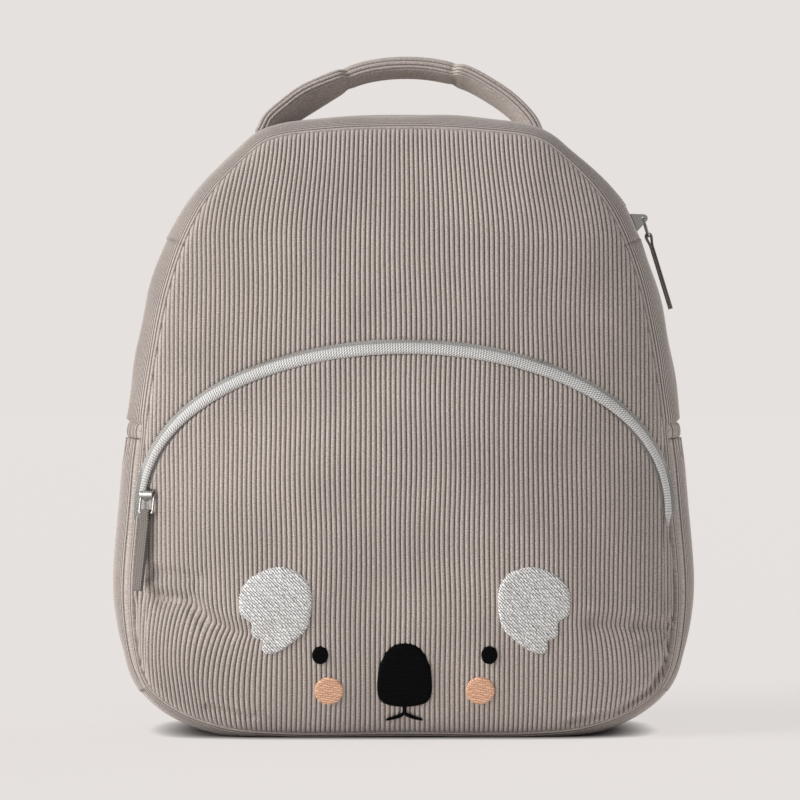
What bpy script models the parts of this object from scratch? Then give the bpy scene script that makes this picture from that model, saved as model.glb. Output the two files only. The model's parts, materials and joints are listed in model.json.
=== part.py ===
"""A kids' corduroy backpack with a koala's face on its front pocket.

The bag stands on the floor at z = 0, its front faces -Y and +X is to the viewer's right.
Lengths are metres. The tables hold shares of the named sizes that they follow.
"""

import math

import bmesh
import bpy
import numpy as np
from mathutils import Matrix, Vector
from mathutils.bvhtree import BVHTree

MM = 0.001

# Body of the bag
SEAM_HEIGHT = 289 * MM  # top of the front and back seams above the floor
SEAM_HALF_WIDTH = 129 * MM  # widest point of those seams from the middle
DEPTH = 110 * MM  # front seam to back seam
GUSSET_FULLNESS = 11.5 * MM  # the gusset stands out this far between its seams
FRONT_FULLNESS = 27 * MM  # the front stands out this far in front of its seam
POCKET_FULLNESS = 7 * MM  # the front pocket adds this below its zip
BACK_FULLNESS = 7 * MM
FACE_POWER = 0.75  # how fully the front and back are rounded towards their seams
GUSSET_POWER = 0.6
MIDDLE_SHARE = 0.45  # height of the fullest place as a share of SEAM_HEIGHT
POCKET_START = 0.2  # share of POCKET_FULLNESS that is there right below the zip
POCKET_RAMP = 3.0

# Cloth
PANEL_WALL = 3 * MM
GUSSET_WALL = 2.5 * MM
BACK_WALL = 6 * MM
SIDE_POCKET_WALL = 1.5 * MM
HEM_WALL = 1.8 * MM
TAPE_WALL = 1 * MM
GAP = 0.3 * MM  # between pieces that are sewn together
TUCK = 1 * MM  # a panel's edge lies this far behind the gusset's rim

# Zips
SLOT = 7.5 * MM  # between the two cloth edges
TAPE_RECESS = 1 * MM
COIL_WIDTH = 5.3 * MM
COIL_HEIGHT = 3.2 * MM
POCKET_ZIP_FOOT = 105 * MM  # height where the pocket's zip runs into the side seams
POCKET_ZIP_RISE = 79 * MM
ZIP_Z_POWER = 0.87
MAIN_ZIP_FOOT = 234 * MM  # height where the main zip ends on both sides
TAPE_TRIM = 0.12  # share of its first and last span that the pocket's tape is cut short by

# Side pockets
SIDE_POCKET_FOOT = 24 * MM
SIDE_POCKET_TOP = 141 * MM
HEM_HEIGHT = 7.3 * MM
SIDE_POCKET_HOLLOW = 7.5 * MM
HEM_HOLLOW = 6.2 * MM
SIDE_POCKET_SPAN = 0.9  # share of the gusset's depth
GUSSET_PRESS = 8.5 * MM  # the gusset is pressed in this far behind a side pocket
PRESS_BELOW = 0.12  # shares of SEAM_HEIGHT over which the press comes and goes
PRESS_ABOVE = 0.07
SIDE_POCKET_START = 0.12  # share of its hollow at a side pocket's foot
GATHER_START = 0.82  # share of a side pocket's height where its hem draws it in

# Carrying handle
HANDLE_HALF_SPAN = 69 * MM
HANDLE_RISE = 33 * MM
HANDLE_WIDTH = 25 * MM
HANDLE_THICKNESS = 7 * MM
HANDLE_TILT = math.radians(11)
HANDLE_LIFT = 0.9 * MM  # between the gusset and the sewn foot, measured upward
HANDLE_PLACE = 0.62  # share of the way from the middle of the gusset to the back seam

# Shoulder straps
STRAP_WIDTH = 42 * MM
STRAP_THICKNESS = 9 * MM
STRAP_TOP = 258 * MM
STRAP_FOOT = 112 * MM
STRAP_REACH = 34 * MM  # behind the back panel
STRAP_X_TOP = 40 * MM
STRAP_X_FOOT = 66 * MM
WEBBING_WIDTH = 20 * MM
WEBBING_WALL = 1.4 * MM
WEBBING_FOOT_HEIGHT = 30 * MM
WEBBING_FOOT_INSET = 37 * MM  # inside the widest point of the back seam
WEBBING_FOOT_X = SEAM_HALF_WIDTH - WEBBING_FOOT_INSET
BUCKLE_WIDTH = 28 * MM
BUCKLE_BAR = 3 * MM
BUCKLE_WINDOW = 9 * MM

# Zip pulls
BORE_RADIUS = 1.05 * MM
SLIDER_WIDTH = 7 * MM
SLIDER_LENGTH = 9 * MM
SLIDER_HEIGHT = 4 * MM
LUG_WALL = 1 * MM
RING_WIRE = 0.7 * MM  # radius
RING_LENGTH = 9 * MM
TAB_WIDTH = 5.5 * MM
TAB_LENGTH = 34 * MM
TAB_WALL = 1 * MM  # one ply of the folded tab
POCKET_PULL_LEAN = math.radians(7)
MAIN_PULL_RISE = 13 * MM  # above the main zip's right end

# Embroidered face on the front pocket
THREAD_WALL = 0.9 * MM
SEWN_LIFT = 0.5 * MM  # between the pocket's face and the stitches over its folds
EAR_X = 61 * MM
EAR_Z = 63 * MM
EAR_HALF_WIDTH = 17 * MM
EAR_HALF_HEIGHT = 20.5 * MM
EAR_LEAN = math.radians(8)
EYE_X = 39.6 * MM
EYE_Z = 40.6 * MM
EYE_SIZE = (3.75 * MM, 4.15 * MM)
CHEEK_X = 35.6 * MM
CHEEK_Z = 23.9 * MM
CHEEK_SIZE = (6.8 * MM, 6.5 * MM)
NOSE_Z = 31 * MM
NOSE_HALF_WIDTH = 12.9 * MM
NOSE_HALF_HEIGHT = 15.3 * MM
MOUTH_TOP = 14.6 * MM
MOUTH_HALF_WIDTH = 8.6 * MM
MOUTH_DROP = 5 * MM
MOUTH_LINE = 1.5 * MM

# Half of the seam's line, from the middle of the base to the middle of the top.
# Columns: out as a share of SEAM_HALF_WIDTH, up as a share of SEAM_HEIGHT.
OUTLINE = (
    (0.0, 0.008),
    (0.47, 0.008),
    (0.67, 0.018),
    (0.86, 0.052),
    (0.955, 0.095),
    (1.0, 0.21),
    (0.975, 0.39),
    (0.936, 0.567),
    (0.865, 0.74),
    (0.795, 0.837),
    (0.721, 0.9),
    (0.6, 0.956),
    (0.5, 0.981),
    (0.27, 0.996),
    (0.0, 1.0),
)

# Folds in the front pocket, each a valley along a line.
# Columns: x and z of one end, x and z of the other as shares of SEAM_HALF_WIDTH and
# SEAM_HEIGHT, depth as a share of POCKET_FULLNESS, half width as a share of SEAM_HEIGHT.
FOLDS = (
    (-0.92, 0.23, -0.70, 0.192, 0.34, 0.026),
    (-0.70, 0.192, -0.58, 0.175, 0.16, 0.028),
    (0.70, 0.188, 0.95, 0.180, 0.36, 0.024),
    (-0.93, 0.275, -0.72, 0.262, 0.16, 0.024),
)

# One shoulder strap, from the back panel's top to its lower end.
# Columns: down from STRAP_TOP to STRAP_FOOT, out from STRAP_X_TOP to STRAP_X_FOOT,
# behind the back panel as a share of STRAP_REACH.
STRAP_LINE = (
    (0.0, 0.0, 0.0),
    (0.0, 0.0, 0.28),
    (0.06, 0.05, 0.62),
    (0.25, 0.2, 0.92),
    (0.5, 0.5, 1.0),
    (0.75, 0.8, 0.9),
    (1.0, 1.0, 0.66),
)

# The webbing below a strap, from its buckle to the back panel.
# Columns: down from the buckle to WEBBING_FOOT_HEIGHT, out from STRAP_X_FOOT to
# WEBBING_FOOT_X, behind the back panel as a share of STRAP_REACH.
WEBBING_LINE = (
    (0.28, 0.25, 0.5),
    (0.6, 0.65, 0.28),
    (0.85, 0.95, 0.1),
)

# Scalloped edge of the ear: columns are the turn from straight out and the share cut off.
EAR_NOTCHES = (
    (-14, 0.1),
    (-50, 0.1),
    (-88, 0.08),
)

# Colour, roughness and metallic of each finish.
FINISHES = {
    "corduroy": ((0.43, 0.38, 0.355), 0.9, 0.0),
    "zip_tape": ((0.30, 0.28, 0.27), 0.85, 0.0),
    "zip_coil": ((0.60, 0.59, 0.58), 0.5, 0.0),
    "metal": ((0.72, 0.71, 0.69), 0.3, 1.0),
    "pull_tab": ((0.36, 0.31, 0.29), 0.85, 0.0),
    "back_cloth": ((0.20, 0.19, 0.19), 0.9, 0.0),
    "webbing": ((0.10, 0.10, 0.10), 0.8, 0.0),
    "buckle": ((0.04, 0.04, 0.04), 0.4, 0.0),
    "silver_thread": ((0.66, 0.65, 0.65), 0.4, 0.0),
    "black_thread": ((0.01, 0.01, 0.012), 0.5, 0.0),
    "peach_thread": ((0.68, 0.38, 0.25), 0.5, 0.0),
}


def clear_scene():
    """Remove the objects that the file opened with."""
    for held in list(bpy.data.objects):
        bpy.data.objects.remove(held, do_unlink=True)


def smooth_step(share):
    """Ease from 0 to 1 while share goes from 0 to 1."""
    held = min(max(share, 0.0), 1.0)
    return held * held * (3 - 2 * held)


def smooth_line(points, closed=False, per_span=12):
    """A centripetal Catmull-Rom curve through the points."""
    given = np.array(points, float)
    if closed:
        padded = np.vstack([given[-1], given, given[0], given[1]])
    else:
        padded = np.vstack([2 * given[0] - given[1], given, 2 * given[-1] - given[-2]])
    steps = np.sqrt(np.linalg.norm(np.diff(padded, axis=0), axis=1))
    knots = np.concatenate([[0], np.cumsum(steps)])

    def mix(first, second, low, high, at):
        share = (at - knots[low]) / (knots[high] - knots[low])
        return (1 - share) * first + share * second

    line = []
    for i in range(1, len(padded) - 2):
        for at in np.linspace(knots[i], knots[i + 1], per_span, endpoint=False):
            near = [mix(padded[k], padded[k + 1], k, k + 1, at) for k in (i - 1, i, i + 1)]
            wide = [mix(near[j], near[j + 1], i - 1 + j, i + 1 + j, at) for j in (0, 1)]
            line.append(mix(wide[0], wide[1], i, i + 1, at))
    if not closed:
        line.append(padded[-2])
    return np.array(line)


def spaced(line, count):
    """The line again as count points, evenly spaced along it."""
    steps = np.linalg.norm(np.diff(line, axis=0), axis=1)
    along = np.concatenate([[0], np.cumsum(steps)])
    at = np.linspace(0, along[-1], count)
    return np.stack([np.interp(at, along, line[:, k]) for k in range(line.shape[1])], axis=1)


class Outline:
    """A closed line in the XZ plane, from the middle of the base up the right side."""

    SAMPLES = 720

    def __init__(self, inset=0.0):
        right = [(out * SEAM_HALF_WIDTH, up * SEAM_HEIGHT) for out, up in OUTLINE]
        left = [(-x, z) for x, z in reversed(right[1:-1])]
        loop = smooth_line(right + left, closed=True)
        line = spaced(np.vstack([loop, loop[0]]), self.SAMPLES + 1)
        along = np.gradient(line, axis=0)
        along[0] = along[-1] = line[1] - line[-2]
        outward = np.stack([along[:, 1], -along[:, 0]], axis=1)
        self.normals = outward / np.linalg.norm(outward, axis=1)[:, None]
        self.points = line - self.normals * inset
        self.middle = np.array([0.0, SEAM_HEIGHT * MIDDLE_SHARE])
        spokes = self.points[:-1] - self.middle
        turn = np.arctan2(spokes[:, 1], spokes[:, 0])
        order = np.argsort(turn)
        self.turns = turn[order]
        self.radii = np.linalg.norm(spokes, axis=1)[order]

    def at(self, share):
        """The point and the outward normal at a share of the way round."""
        place = (share % 1.0) * self.SAMPLES
        index = np.arange(self.SAMPLES + 1)
        point = [np.interp(place, index, self.points[:, k]) for k in (0, 1)]
        normal = np.array([np.interp(place, index, self.normals[:, k]) for k in (0, 1)])
        return np.array(point), normal / np.linalg.norm(normal)

    def side(self, height):
        """The share of the way round where the right side is at a height."""
        start = self.SAMPLES // 16
        half = self.points[start : self.SAMPLES // 2, 1]
        return (start + np.interp(height, half, np.arange(len(half)))) / self.SAMPLES

    def facing(self, angle):
        """The share of the way round where the right side's normal is at an angle."""
        half = self.normals[: self.SAMPLES // 2]
        turned = np.unwrap(np.arctan2(half[:, 1], half[:, 0]))
        return float(np.interp(angle, turned, np.arange(len(half)))) / self.SAMPLES

    def run(self, first, last, count):
        """Points along the line between two shares of the way round."""
        return np.array([self.at(share)[0] for share in np.linspace(first, last, count)])

    def reach(self, x, z):
        """How far out a point lies: 0 in the middle and 1 on the line."""
        spoke = np.array([x, z]) - self.middle
        turn = math.atan2(spoke[1], spoke[0])
        edge = np.interp(turn, self.turns, self.radii, period=2 * math.pi)
        return min(float(np.linalg.norm(spoke) / edge), 1.0)


SEAM = Outline()
PANEL = Outline(inset=GUSSET_WALL + GAP)
ZIP_HALF_WIDTH = abs(PANEL.at(PANEL.side(POCKET_ZIP_FOOT))[0][0]) - SLOT / 2
PANEL_TOP_CORNER = PANEL.facing(math.radians(50))
PANEL_LOW_CORNER = PANEL.facing(math.radians(-45))
ZIP_COLUMNS = 23
UPPER_ROWS = 11
POCKET_ROWS = 14
BACK_COLUMNS = 14
BACK_ROWS = 15
ZIP_END_TURN = math.radians(2)


def grid_between(bottom, top, left, right):
    """A grid of points between four edges, with its rows running from bottom to top."""
    across = np.linspace(0, 1, len(bottom))[None, :, None]
    up = np.linspace(0, 1, len(left))[:, None, None]
    ruled = (1 - up) * bottom[None] + up * top[None]
    ruled = ruled + (1 - across) * left[:, None] + across * right[:, None]
    low = (1 - across) * bottom[0] + across * bottom[-1]
    high = (1 - across) * top[0] + across * top[-1]
    return ruled - (1 - up) * low - up * high


def fold_depth(x, z):
    """How deep the folds press the front pocket in at a point."""
    depth = 0.0
    for x_0, z_0, x_1, z_1, share, width in FOLDS:
        start = np.array([x_0 * SEAM_HALF_WIDTH, z_0 * SEAM_HEIGHT])
        way = np.array([x_1 * SEAM_HALF_WIDTH, z_1 * SEAM_HEIGHT]) - start
        along = np.clip(np.dot([x, z] - start, way) / np.dot(way, way), 0, 1)
        off = np.linalg.norm([x, z] - start - along * way) / (width * SEAM_HEIGHT)
        depth = max(depth, share * POCKET_FULLNESS * math.exp(-off * off))
    return depth


def zip_height(x):
    """Height of the pocket zip's centreline at a distance from the middle."""
    share = min(abs(x) / ZIP_HALF_WIDTH, 1.0)
    return POCKET_ZIP_FOOT + POCKET_ZIP_RISE * (1 - share * share) ** (ZIP_Z_POWER / 2)


def front_y(x, z, pocket=False):
    """Depth of the front's outer face, which bulges forward inside its seam."""
    reach = PANEL.reach(x, z)
    out = FRONT_FULLNESS * (1 - reach**2) ** FACE_POWER
    if pocket:
        fall = (zip_height(x) - z) / (POCKET_ZIP_FOOT + POCKET_ZIP_RISE)
        full = POCKET_START + (1 - POCKET_START) * smooth_step(fall * POCKET_RAMP)
        out += POCKET_FULLNESS * (1 - reach**4) * full
        out -= fold_depth(x, z) * (1 - reach**6)
    return -(DEPTH / 2 - TUCK + out)


def back_y(x, z):
    """Depth of the back panel's outer face."""
    return DEPTH / 2 - TUCK + BACK_FULLNESS * (1 - PANEL.reach(x, z) ** 2) ** FACE_POWER


def press(height):
    """How far the gusset is pressed in at a height, behind the side pockets."""
    below = smooth_step((height - SIDE_POCKET_FOOT) / (PRESS_BELOW * SEAM_HEIGHT))
    mouth_height = SIDE_POCKET_TOP + HEM_HEIGHT
    above = smooth_step((mouth_height - height) / (PRESS_ABOVE * SEAM_HEIGHT) + 1)
    return GUSSET_PRESS * below * above


def gusset_out(share, across):
    """How far the gusset stands out from its seams; across goes from -1 to 1."""
    height = SEAM.at(share)[0][1]
    return (GUSSET_FULLNESS - press(height)) * (1 - across * across) ** GUSSET_POWER


def gusset_point(share, across, lift=0.0):
    """A point on the gusset's outer face, or lifted off it."""
    point, normal = SEAM.at(share)
    place = point + normal * (gusset_out(share, across) + lift)
    return (place[0], across * DEPTH / 2, max(place[1], 0.0))


def zip_line(offset, count=ZIP_COLUMNS):
    """Points of the pocket zip, moved off its centreline by an offset."""
    turns = np.linspace(math.pi - ZIP_END_TURN, ZIP_END_TURN, count)
    x = ZIP_HALF_WIDTH * np.cos(turns)
    z = POCKET_ZIP_FOOT + POCKET_ZIP_RISE * np.sin(turns) ** ZIP_Z_POWER
    line = np.stack([x, z], axis=1)
    along = np.gradient(line, axis=0)
    along /= np.linalg.norm(along, axis=1)[:, None]
    return line + offset * np.stack([-along[:, 1], along[:, 0]], axis=1)


def set_finish(held, finish):
    """Give an object its own material."""
    colour, roughness, metallic = FINISHES[finish]
    material = bpy.data.materials.new(held.name)
    material.use_nodes = True
    shader = material.node_tree.nodes["Principled BSDF"]
    shader.inputs["Base Color"].default_value = (*colour, 1.0)
    shader.inputs["Roughness"].default_value = roughness
    shader.inputs["Metallic"].default_value = metallic
    held.data.materials.append(material)


def add_object(name, shape, finish, sharp=50):
    """Make a named object of a bmesh and shade it smooth up to an angle."""
    mesh = bpy.data.meshes.new(name)
    shape.to_mesh(mesh)
    shape.free()
    mesh.shade_smooth()
    mesh.set_sharp_from_angle(angle=math.radians(sharp))
    held = bpy.data.objects.new(name, mesh)
    bpy.context.scene.collection.objects.link(held)
    set_finish(held, finish)
    return held


def sheet(name, grid, wall, finish):
    """Cloth with a grid of outer points and its wall on the inside."""
    rows, columns = grid.shape[:2]
    shape = bmesh.new()
    bmesh.ops.create_grid(shape, x_segments=columns - 1, y_segments=rows - 1, size=1)
    for vert, place in zip(shape.verts, grid.reshape(-1, 3)):
        vert.co = place
    held = add_object(name, shape, finish)
    solid = held.modifiers.new("wall", "SOLIDIFY")
    solid.thickness = wall
    solid.offset = -1
    return held


def loft(name, rings, finish, closed=False):
    """A solid through rings of points, closed on itself or capped at its ends."""
    shape = bmesh.new()
    loops = [[shape.verts.new(place) for place in ring] for ring in rings]
    pairs = list(zip(loops, loops[1:]))
    if closed:
        pairs.append((loops[-1], loops[0]))
    else:
        shape.faces.new(loops[0])
        shape.faces.new(loops[-1])
    for one, two in pairs:
        for i in range(len(one)):
            j = (i + 1) % len(one)
            shape.faces.new((one[i], one[j], two[j], two[i]))
    bmesh.ops.recalc_face_normals(shape, faces=shape.faces)
    return add_object(name, shape, finish)


def oval(width, height, sides):
    """Points round an ellipse."""
    turns = [2 * math.pi * i / sides for i in range(sides)]
    return [(width / 2 * math.cos(turn), height / 2 * math.sin(turn)) for turn in turns]


def soft_bar(width, height):
    """Points round a flat bar with rounded long edges."""
    in_x = width / 2 - height / 2
    edge = height / 2
    right = [(0, -edge), (in_x, -edge), (in_x + edge * 0.7, -edge * 0.7), (width / 2, 0)]
    right += [(in_x + edge * 0.7, edge * 0.7), (in_x, edge)]
    return right + [(-x, -y) for x, y in right]


def flat_bar(width, height):
    """Points round a flat strip."""
    x, y = width / 2, height / 2
    return [(x, -y), (x, y), (-x, y), (-x, -y)]


def carry(section, line, sideways):
    """Rings of a section along a line; sideways is where its width points."""
    places = [Vector(place) for place in line]
    rings = []
    for i, place in enumerate(places):
        before, after = places[max(i - 1, 0)], places[min(i + 1, len(places) - 1)]
        along = (after - before).normalized()
        wide = Vector(sideways) - along * along.dot(Vector(sideways))
        wide.normalize()
        thick = along.cross(wide)
        rings.append([place + wide * x + thick * y for x, y in section])
    return rings


def front_panels():
    """The front above the pocket's zip, and the pocket below it."""
    inner = zip_line(SLOT / 2)[2:-2]
    side = PANEL.side(inner[0][1] - 0.8 * SLOT)
    edge = np.vstack([PANEL.at(1 - side)[0], inner, PANEL.at(side)[0]])
    top = PANEL.run(1 - PANEL_TOP_CORNER, PANEL_TOP_CORNER, len(edge))
    left = PANEL.run(1 - side, 1 - PANEL_TOP_CORNER, UPPER_ROWS)
    flat = grid_between(edge, top, left, left * [-1, 1])
    grid = np.array([[(x, front_y(x, z), z) for x, z in row] for row in flat])
    sheet("front_panel", grid, PANEL_WALL, "corduroy")

    inner = zip_line(-SLOT / 2)
    side = PANEL.side(inner[0][1] - 0.3 * SLOT)
    edge = np.vstack([PANEL.at(1 - side)[0], inner, PANEL.at(side)[0]])
    bottom = PANEL.run(-PANEL_LOW_CORNER, PANEL_LOW_CORNER, len(edge))
    left = PANEL.run(1 - PANEL_LOW_CORNER, 1 - side, POCKET_ROWS)
    flat = grid_between(bottom, edge, left, left * [-1, 1])
    grid = np.array([[(x, front_y(x, z, True), z) for x, z in row] for row in flat])
    sheet("front_pocket", grid, PANEL_WALL, "corduroy")
    return grid


def back_panel():
    """The padded panel against the wearer's back."""
    bottom = PANEL.run(-PANEL_LOW_CORNER, PANEL_LOW_CORNER, BACK_COLUMNS)
    top = PANEL.run(1 - PANEL_TOP_CORNER, PANEL_TOP_CORNER, BACK_COLUMNS)
    left = PANEL.run(1 - PANEL_LOW_CORNER, 1 - PANEL_TOP_CORNER, BACK_ROWS)
    flat = grid_between(bottom, top, left, left * [-1, 1])[:, ::-1]
    grid = np.array([[(x, back_y(x, z), z) for x, z in row] for row in flat])
    sheet("back_panel", grid, BACK_WALL, "back_cloth")


def gusset():
    """The band between the front and back seams, split by the main zip."""
    across = np.sin(np.linspace(math.pi / 2, -math.pi / 2, 7))
    grid = [[gusset_point(share, s) for share in base_shares()] for s in across]
    grid = np.array(grid)
    sheet("gusset_base", grid, GUSSET_WALL, "corduroy")

    shares = top_shares()
    edge = SLOT / DEPTH
    for name, low, high in (("gusset_back", edge, 1), ("gusset_front", -1, -edge)):
        turns = np.linspace(math.asin(high), math.asin(low), 4)
        grid = np.array([[gusset_point(share, math.sin(a)) for share in shares] for a in turns])
        sheet(name, grid, GUSSET_WALL, "corduroy")


def zip_foot_shares():
    """Where the base's piece ends and the top's pieces begin, with a gap between them."""
    foot = SEAM.side(MAIN_ZIP_FOOT)
    nick = GAP / 2 / np.linalg.norm(np.diff(SEAM.points, axis=0), axis=1).sum()
    return foot - nick, foot + nick


def base_shares():
    """Where the base's columns lie on the way round the seam."""
    foot = zip_foot_shares()[0]
    return np.linspace(-foot, foot, 57)


def top_shares():
    """Where the main zip's columns lie on the way round the seam."""
    foot = zip_foot_shares()[1]
    return np.linspace(foot, 1 - foot, 31)


def front_normal(x, z, pocket=False):
    """Outward normal of the front's outer face."""
    step = 0.5 * MM
    d_x = (front_y(x + step, z, pocket) - front_y(x - step, z, pocket)) / (2 * step)
    d_z = (front_y(x, z + step, pocket) - front_y(x, z - step, pocket)) / (2 * step)
    return Vector((d_x, -1.0, d_z)).normalized()


def coil_rings(places, normals, first=0, last=None):
    """Rings of a zip's coil that lies on its tape."""
    places, normals = places[first:last], normals[first:last]
    rings = []
    for i, (place, normal) in enumerate(zip(places, normals)):
        before, after = places[max(i - 1, 0)], places[min(i + 1, len(places) - 1)]
        along = (after - before).normalized()
        wide = along.cross(normal).normalized()
        centre = place + normal * (GAP + COIL_HEIGHT / 2)
        section = oval(COIL_WIDTH, COIL_HEIGHT, 8)
        rings.append([centre + wide * x + normal * y for x, y in section])
    return rings


def pocket_zip():
    """The front pocket's tape and coil, and the frame where its slider sits."""
    half = SLOT / 2 - 2 * GAP
    rows = [zip_line(offset) for offset in (-half, 0.0, half)]
    for row in rows:
        row[0] += TAPE_TRIM * (row[1] - row[0])
        row[-1] += TAPE_TRIM * (row[-2] - row[-1])
    middle = rows[1]
    normals = [front_normal(x, z) for x, z in middle]
    grid = []
    for row in rows:
        places = [Vector((x, front_y(x, z), z)) for x, z in row]
        grid.append([place - normal * TAPE_RECESS for place, normal in zip(places, normals)])
    sheet("pocket_zip_tape", np.array(grid), TAPE_WALL, "zip_tape")
    along = (grid[1][1] - grid[1][0]).normalized()
    coil = [grid[1][0] + along * (SLIDER_LENGTH + 2 * GAP)] + grid[1][1:-1]
    loft("pocket_zip_coil", coil_rings(coil, normals), "zip_coil")
    return grid[1][0] + along * SLIDER_LENGTH / 2, normals[0]


def main_zip():
    """The main zip's tape and coil, and the frame where its slider sits."""
    half = (SLOT - 2 * GAP) / DEPTH
    shares = top_shares()
    grid = [
        [gusset_point(share, s, -TAPE_RECESS) for share in shares] for s in (half, 0, -half)
    ]
    sheet("main_zip_tape", np.array(grid), TAPE_WALL, "zip_tape")
    places = [Vector(place) for place in grid[1]]
    normals = []
    for i in range(len(places)):
        along = places[min(i + 1, len(places) - 1)] - places[max(i - 1, 0)]
        normals.append(Vector((along.z, 0, -along.x)).normalized())
    pull_height = MAIN_ZIP_FOOT + MAIN_PULL_RISE
    slider_at = min(
        range(len(places) // 2), key=lambda i: abs(places[i].z - pull_height)
    )
    loft("main_zip_coil", coil_rings(places, normals, slider_at + 1, -1), "zip_coil")
    return places[slider_at], normals[slider_at]


def eyelet(name, frame, radius, outer, width, finish):
    """An extruded strip with a round hole; outer gives the loop round the hole."""
    count = len(outer)
    turns = [2 * math.pi * (i + 0.5) / count for i in range(count)]
    hole = [(radius * math.cos(turn), radius * math.sin(turn)) for turn in turns]
    shape = bmesh.new()
    sides = []
    for x in (-width / 2, width / 2):
        sides.append([[shape.verts.new((x, *p)) for p in loop] for loop in (hole, outer)])
    for i in range(count):
        j = (i + 1) % count
        for inner, rim in sides:
            shape.faces.new((inner[i], inner[j], rim[j], rim[i]))
        for ring in (0, 1):
            one, two = sides[0][ring], sides[1][ring]
            shape.faces.new((one[i], one[j], two[j], two[i]))
    bmesh.ops.recalc_face_normals(shape, faces=shape.faces)
    held = add_object(name, shape, finish, sharp=30)
    held.matrix_world = frame
    return held


def round_top(radius, corners, count=12):
    """A loop that is round above the middle and runs to two corners below it."""
    loop = []
    for i in range(count):
        turn = 2 * math.pi * (i + 0.5) / count
        loop.append((radius * math.cos(turn), radius * math.sin(turn)))
    low = [i for i in range(count) if loop[i][1] < 0]
    reach = [loop[low[0]][0], loop[low[-1]][0]]
    for i in low:
        share = (loop[i][0] - reach[0]) / (reach[1] - reach[0])
        loop[i] = (
            corners[0][0] + share * (corners[1][0] - corners[0][0]),
            corners[0][1] + share * (corners[1][1] - corners[0][1]),
        )
    return loop


def zip_pull(prefix, place, normal, down, lean):
    """A slider on a tape, its ring and its folded tab, which hangs along down."""
    axis = down.cross(normal).normalized()
    seat = place + normal * GAP
    bore = seat + normal * (SLIDER_HEIGHT + LUG_WALL)
    # The slider's own frame has X along the bore, Y down the zip and Z outward.
    frame = Matrix((axis, -down, normal)).transposed().to_4x4()
    frame.translation = bore
    drop = -(SLIDER_HEIGHT + LUG_WALL)
    corners = [(-SLIDER_LENGTH / 2, drop), (SLIDER_LENGTH / 2, drop)]
    outer = round_top(BORE_RADIUS + LUG_WALL, corners)
    eyelet(prefix + "_slider", frame, BORE_RADIUS, outer, SLIDER_WIDTH, "metal")

    hang = (Matrix.Rotation(lean, 3, axis) @ down).normalized()
    out = axis.cross(hang).normalized()
    if out.dot(normal) < 0:
        out = -out
    line = ring_line(bore, axis, hang)
    rings = []
    for i, centre in enumerate(line):
        along = (line[(i + 1) % len(line)] - line[i - 1]).normalized()
        wide = along.cross(out).normalized()
        section = oval(2 * RING_WIRE, 2 * RING_WIRE, 6)
        rings.append([centre + wide * x + out * y for x, y in section])
    loft(prefix + "_ring", rings, "metal", closed=True)

    foot = bore + hang * RING_LENGTH
    frame = Matrix((axis, out, -hang)).transposed().to_4x4()
    frame.translation = foot
    radius = RING_WIRE + GAP
    corners = [(-TAB_WALL, -TAB_LENGTH), (TAB_WALL, -TAB_LENGTH)]
    outer = round_top(radius + TAB_WALL, corners)
    eyelet(prefix + "_tab", frame, radius, outer, TAB_WIDTH, "pull_tab")
    return bore, axis


def ring_line(bore, axis, hang):
    """The wire's centreline: a bar in the bore, two legs and a bar below."""
    corner = 2 * RING_WIRE
    wide = TAB_WIDTH / 2 + 2 * GAP + corner
    flat = []
    for x, y, start in ((wide, 0, -90), (wide, 1, 0), (-wide, 1, 90), (-wide, 0, 180)):
        centre_x = math.copysign(abs(x) - corner, x)
        centre_y = corner if y == 0 else RING_LENGTH - corner
        for step in (0, 45, 90):
            turn = math.radians(start + step)
            flat.append((centre_x + corner * math.cos(turn), centre_y + corner * math.sin(turn)))
    return [bore + axis * x + hang * y for x, y in flat]


def side_pockets():
    """The two cloth pockets on the sides and their gathered hems."""
    low, high = SEAM.side(SIDE_POCKET_FOOT), SEAM.side(SIDE_POCKET_TOP)
    top = SEAM.side(SIDE_POCKET_TOP + HEM_HEIGHT)
    nick = SEAM.side(SIDE_POCKET_TOP + GAP)
    across = SIDE_POCKET_SPAN * np.sin(np.linspace(math.pi / 2, -math.pi / 2, 9))

    def stand(share, s, wall):
        height = SEAM.at(share)[0][1]
        up = (height - SIDE_POCKET_FOOT) / (SIDE_POCKET_TOP - SIDE_POCKET_FOOT)
        ramp = SIDE_POCKET_START + (1 - SIDE_POCKET_START) * smooth_step(up * 4)
        full = SIDE_POCKET_HOLLOW * ramp
        gather = smooth_step((up - GATHER_START) / (1 - GATHER_START))
        hollow = full + (HEM_HOLLOW - SIDE_POCKET_HOLLOW) * gather
        arch = (1 - (s / SIDE_POCKET_SPAN) ** 2) ** 0.5
        return GAP + wall + hollow * arch

    for name, sign in (("right", 1), ("left", -1)):
        between = [share for share in base_shares() if low < share < high]
        pieces = (
            ("side_pocket_", [low, *between, high], SIDE_POCKET_WALL),
            ("side_pocket_hem_", np.linspace(nick, top, 3), HEM_WALL),
        )
        for prefix, shares, wall in pieces:
            grid = [[gusset_point(t, s, stand(t, s, wall)) for t in shares] for s in across]
            grid = np.array(grid) * [sign, 1, 1]
            if sign < 0:
                grid = grid[:, ::-1]
            sheet(prefix + name, grid, wall, "corduroy")


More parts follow.
